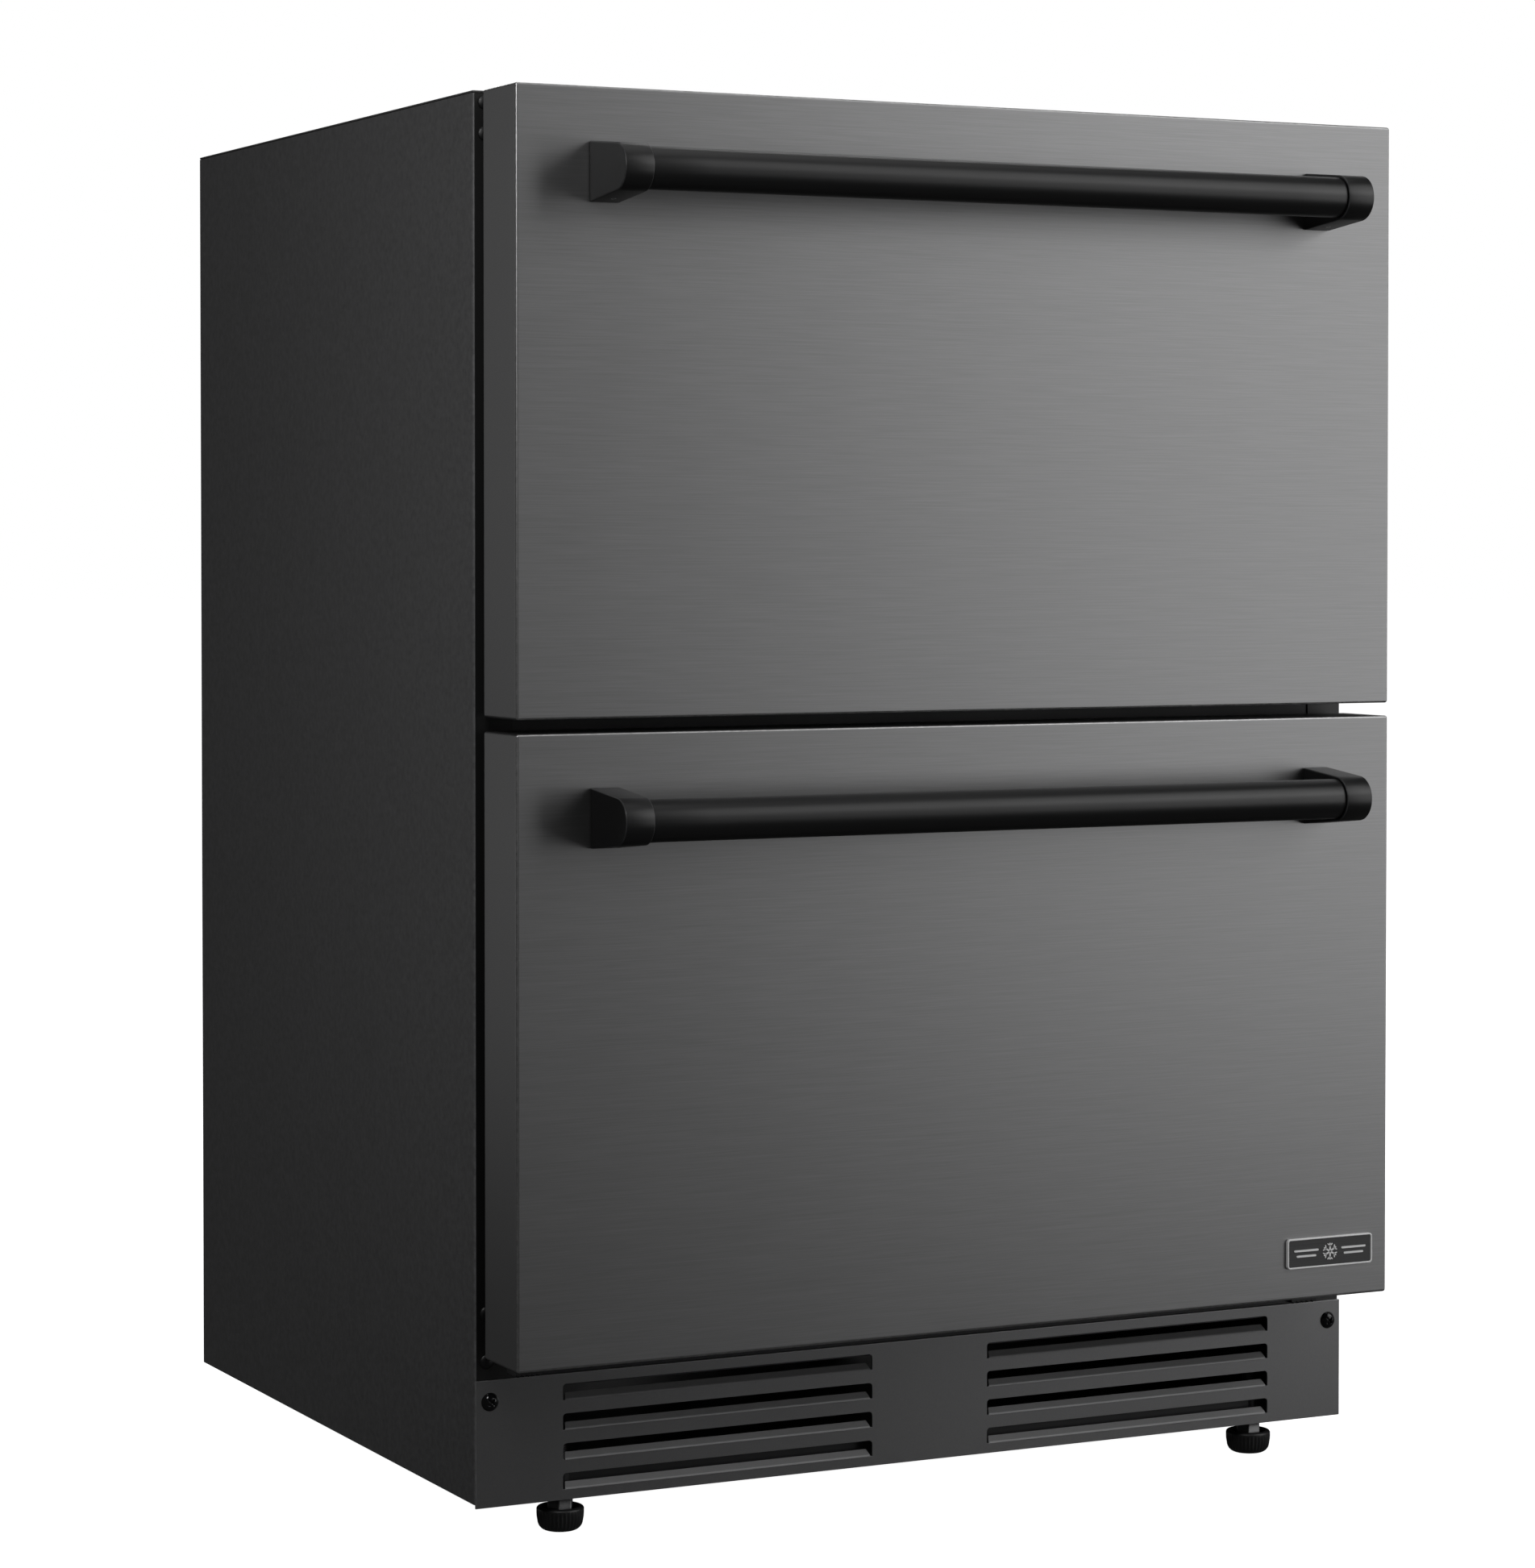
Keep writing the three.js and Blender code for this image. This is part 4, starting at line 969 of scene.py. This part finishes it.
def storageBin(node, body, s):
    # up the outside from the floor, over a rim turned inwards, and down the inside
    lo, hi, half, centre = boxFace(node, "z")
    a = np.linspace(0, np.pi / 2, 7)
    r, t, rim, roll, top = s["floorRound"], s["wall"], s["rimIn"], s["roll"], hi.z
    floor = np.stack([r * (1 - np.sin(a)), lo.z + r * (1 - np.cos(a)), 0 * a], -1)
    # the rolled rim gets wear and a painted highlight
    over = np.stack([roll * (1 - np.cos(a)), top - roll * (1 - np.sin(a)), 0.8 * np.sin(2 * a)], -1)
    low = top - s["rimDrop"]
    curl = [[rim - 1 * mm, top, 0], [rim, top - 1 * mm, 0.8], [rim, low, 0], [rim - t, low, 0],
            [rim - t, top - t, 0], [t + 1 * mm, top - t - 0.4 * mm, 0], [t, top - t - 2 * mm, 0]]
    ri = r - t
    inner = np.stack([t + ri * (1 - np.cos(a)), lo.z + t + ri * (1 - np.sin(a)), 0 * a], -1)
    first, last = [[r + 2 * mm, lo.z, 0]], [[r + 4 * mm, lo.z + t, 0]]
    stations = np.concatenate([first, floor, over, curl, inner, last])
    shell = stackedRects("z", centre, half, s["corner"], stations)
    makePiece(node + "_pressed", [shell], finishes["stainless"], body, [node], sharp=50)


gasketSet = {
    "corner": 14 * mm,
    # millimetres in from the outer edge, and share of the gasket's depth
    "section": [(0.6, 0.0), (0.0, 0.06), (0.3, 0.16), (2.6, 0.24), (1.4, 0.36), (3.2, 0.5), (1.2, 0.62),
                (0.9, 0.86), (2.0, 0.985), (9.6, 1.0), (11.0, 0.9), (10.8, 0.66), (9.0, 0.5), (10.6, 0.34),
                (9.6, 0.22), (11.7, 0.14), (12.0, 0.05), (11.4, 0.0)],
}


def gasketStrip(node, body, s):
    # a closed bellows section, base to magnet pad, carried round a rounded rectangle
    lo, hi, half, centre = boxFace(node, "y")
    stations = np.array([(inset * mm, lo.y + share * (hi.y - lo.y), 0) for inset, share in s["section"]])
    strip = stackedRects("y", centre, half, s["corner"], stations, closeRows=True, caps=(False, False))
    makePiece(node + "_bellows", [strip], finishes["gasketRubber"], body, [node], sharp=70)


panelSet = {
    "corner": 4 * mm,
    "rim": 0.3 * mm,
    "groove": (3 * mm, 3.4 * mm, 5.2 * mm, 5.6 * mm),     # where its two walls begin and end
    "grooveDepth": 0.5 * mm,
    "flat": 20 * mm,
}


def innerPanel(node, body, s):
    # an edge, a groove that the gasket's base sits in, and the flat middle
    lo, hi, half, centre = boxFace(node, "y")
    rim, top, low = s["rim"], hi.y, hi.y - s["grooveDepth"]
    a, b, c, d = s["groove"]
    # the rim and the groove's far wall get wear and a painted highlight
    stations = [[0, lo.y, 0], [0, top - rim, 0], [rim, top, 0.6], [a, top, 0], [b, low, 0],
                [c, low, 0], [d, top, 0.4], [s["flat"], top, 0]]
    panel = stackedRects("y", centre, half, s["corner"], stations)
    makePiece(node + "_sheet", [panel], finishes["stainless"], body, [node])


slideSet = {
    "sheet": 0.84 * mm,
    "fold": 0.5 * mm,
    "groove": 1.1 * mm,
    "grooveFrom": (0.78, 0.55, 0.32),     # shares of the width, from the web
}


def slideMember(node, body, s):
    # a channel with a ball groove pressed along both lips
    lo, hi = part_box(node)
    side = 1 if lo.x > 0 else -1
    inward = "inner" not in node
    web = (hi.x if side > 0 else lo.x) if inward else (lo.x if side > 0 else hi.x)
    tip = (lo.x if side > 0 else hi.x) if inward else (hi.x if side > 0 else lo.x)
    step = math.copysign(1, tip - web)
    middle, h = (lo.z + hi.z) / 2, (hi.z - lo.z) / 2
    far, bottom, near = (web + step * share * abs(tip - web) for share in s["grooveFrom"])

    def lip(sign):
        edge = middle + sign * h
        return [(tip, edge), (far, edge), (bottom, middle + sign * (h - s["groove"])), (near, edge)]

    corners = lip(-1) + [(web, middle - h), (web, middle + h)] + lip(1)[::-1]
    if step > 0:
        corners = corners[::-1]
    member = sheetAlong("y", corners, s["fold"], s["sheet"], [lo.y, (lo.y + hi.y) / 2, hi.y])
    makePiece(node + "_rolled", [member], finishes["zinc"], body, [node], sharp=50)


for drawer in ("upper", "lower"):
    body = drawer + "_drawer"
    storageBin(drawer + "_bin", body, binSet)
    gasketStrip(drawer + "_gasket", body, gasketSet)
    innerPanel(drawer + "_inner_panel", body, panelSet)
    for side in ("left", "right"):
        slideMember(f"{drawer}_slide_inner_{side}", body, slideSet)
        slideMember(f"{drawer}_slide_middle_{side}", drawer + "_rails", slideSet)
        slideMember(f"{drawer}_slide_outer_{side}", "cabinet", slideSet)
print("drawer insides ready")


keptFinishes = {
    "frameSheet": ("face_frame", "mullion_bar", "base_pan", "underside_panel"),
    "sideSheet": ("rear_grille",),
    "linerPlastic": ("liner", "evaporator_cover"),
    "foam": ("foam_insulation", "upper_front_core", "lower_front_core"),
    "finAluminium": ("evaporator", "condenser"),
    "darkPlastic": ("cord_gland", "control_panel", "drain_pan", "evaporator_fan", "evaporator_fan_motor",
                    "condenser_fan", "condenser_fan_motor"),
    "lamp": ("light_bar",),
    "enamel": ("compressor",),
    "copper": ("refrigerant_line",),
}
kept = [(name, finish) for finish, names in keptFinishes.items() for name in names]
for name, finish in kept:
    nodes[name].data.materials.clear()
    nodes[name].data.materials.append(finishes[finish])
print("kept pieces finished:", len(kept))


floorSet = {"radius": 40, "sides": 64, "tone": 0.9, "roughness": 0.8}
worldSet = {"strength": 0.23, "tone": 0.2}


def makeFloor(s):
    # a wide pale disc that glows enough to be seen white, and adds nothing to the light
    material = bpy.data.materials.new("pale_floor")
    material.use_nodes = True
    shader = material.node_tree.nodes["Principled BSDF"]
    shader.inputs["Base Color"].default_value = (s["tone"], s["tone"], s["tone"], 1)
    shader.inputs["Roughness"].default_value = s["roughness"]
    shader.inputs["Emission Color"].default_value = (1, 1, 1, 1)
    shader.inputs["Emission Strength"].default_value = 1.0
    angle = np.linspace(0, 2 * np.pi, s["sides"], endpoint=False)
    rim = np.stack([s["radius"] * np.cos(angle), s["radius"] * np.sin(angle), 0 * angle], -1)
    mesh = bpy.data.meshes.new("floor")
    mesh.from_pydata(rim.tolist(), [], [list(range(s["sides"]))])
    mesh.materials.append(material)
    floor = bpy.data.objects.new("floor", mesh)
    scene.collection.objects.link(floor)
    floor.visible_glossy = False
    floor.visible_diffuse = False


def makeWorld(s):
    # white where the camera sees past the floor, and a soft grey for everything else
    world = bpy.data.worlds.new("studio")
    scene.world = world
    world.use_nodes = True
    tree = world.node_tree
    tree.nodes.clear()
    make = nodeMaker(tree)
    seen = make("ShaderNodeBackground", {"Color": (1, 1, 1, 1), "Strength": 1.0})
    tone = s["tone"]
    felt = make("ShaderNodeBackground", {"Color": (tone, tone, tone, 1), "Strength": s["strength"]})
    ray = make("ShaderNodeLightPath")
    mix = make("ShaderNodeMixShader", {0: ray.outputs["Is Camera Ray"], 1: felt.outputs[0],
                                       2: seen.outputs[0]})
    make("ShaderNodeOutputWorld", {"Surface": mix.outputs[0]})


lightSet = [
    # name, place, looks at, width, height, power
    ("key_right", (2.2, -2.2, 0.9), (0.1, -0.2, 0.4), 2.3, 2.4, 24),
    ("key_high", (1.9, -2.0, 2.3), (0.1, -0.2, 0.5), 2.2, 1.8, 21),
    ("top_bank", (0.2, -0.3, 2.6), (0.0, -0.2, 0.4), 1.6, 1.6, 5),
    ("left_near", (-0.8, -1.15, 1.3), (-0.3, -0.15, 0.75), 0.35, 0.6, 6),
    ("back_left", (-2.0, 1.9, 0.95), (-0.3, 0.0, 0.4), 1.1, 2.4, 3.5),
    ("back_soft", (0.9, 2.2, 2.3), (0.0, 0.3, 0.5), 2.0, 1.6, 24),
]


def makeLights(rows):
    for name, spot, target, width, height, power in rows:
        data = bpy.data.lights.new(name, "AREA")
        data.shape = "RECTANGLE"
        data.size, data.size_y = width, height
        data.energy = power
        lamp = bpy.data.objects.new(name, data)
        lamp.location = spot
        lamp.rotation_euler = (Vector(target) - Vector(spot)).to_track_quat("-Z", "Y").to_euler()
        scene.collection.objects.link(lamp)


makeFloor(floorSet)
makeWorld(worldSet)
makeLights(lightSet)
scene.view_settings.view_transform = "Standard"
print("floor and light ready")

bpy.context.view_layer.update()
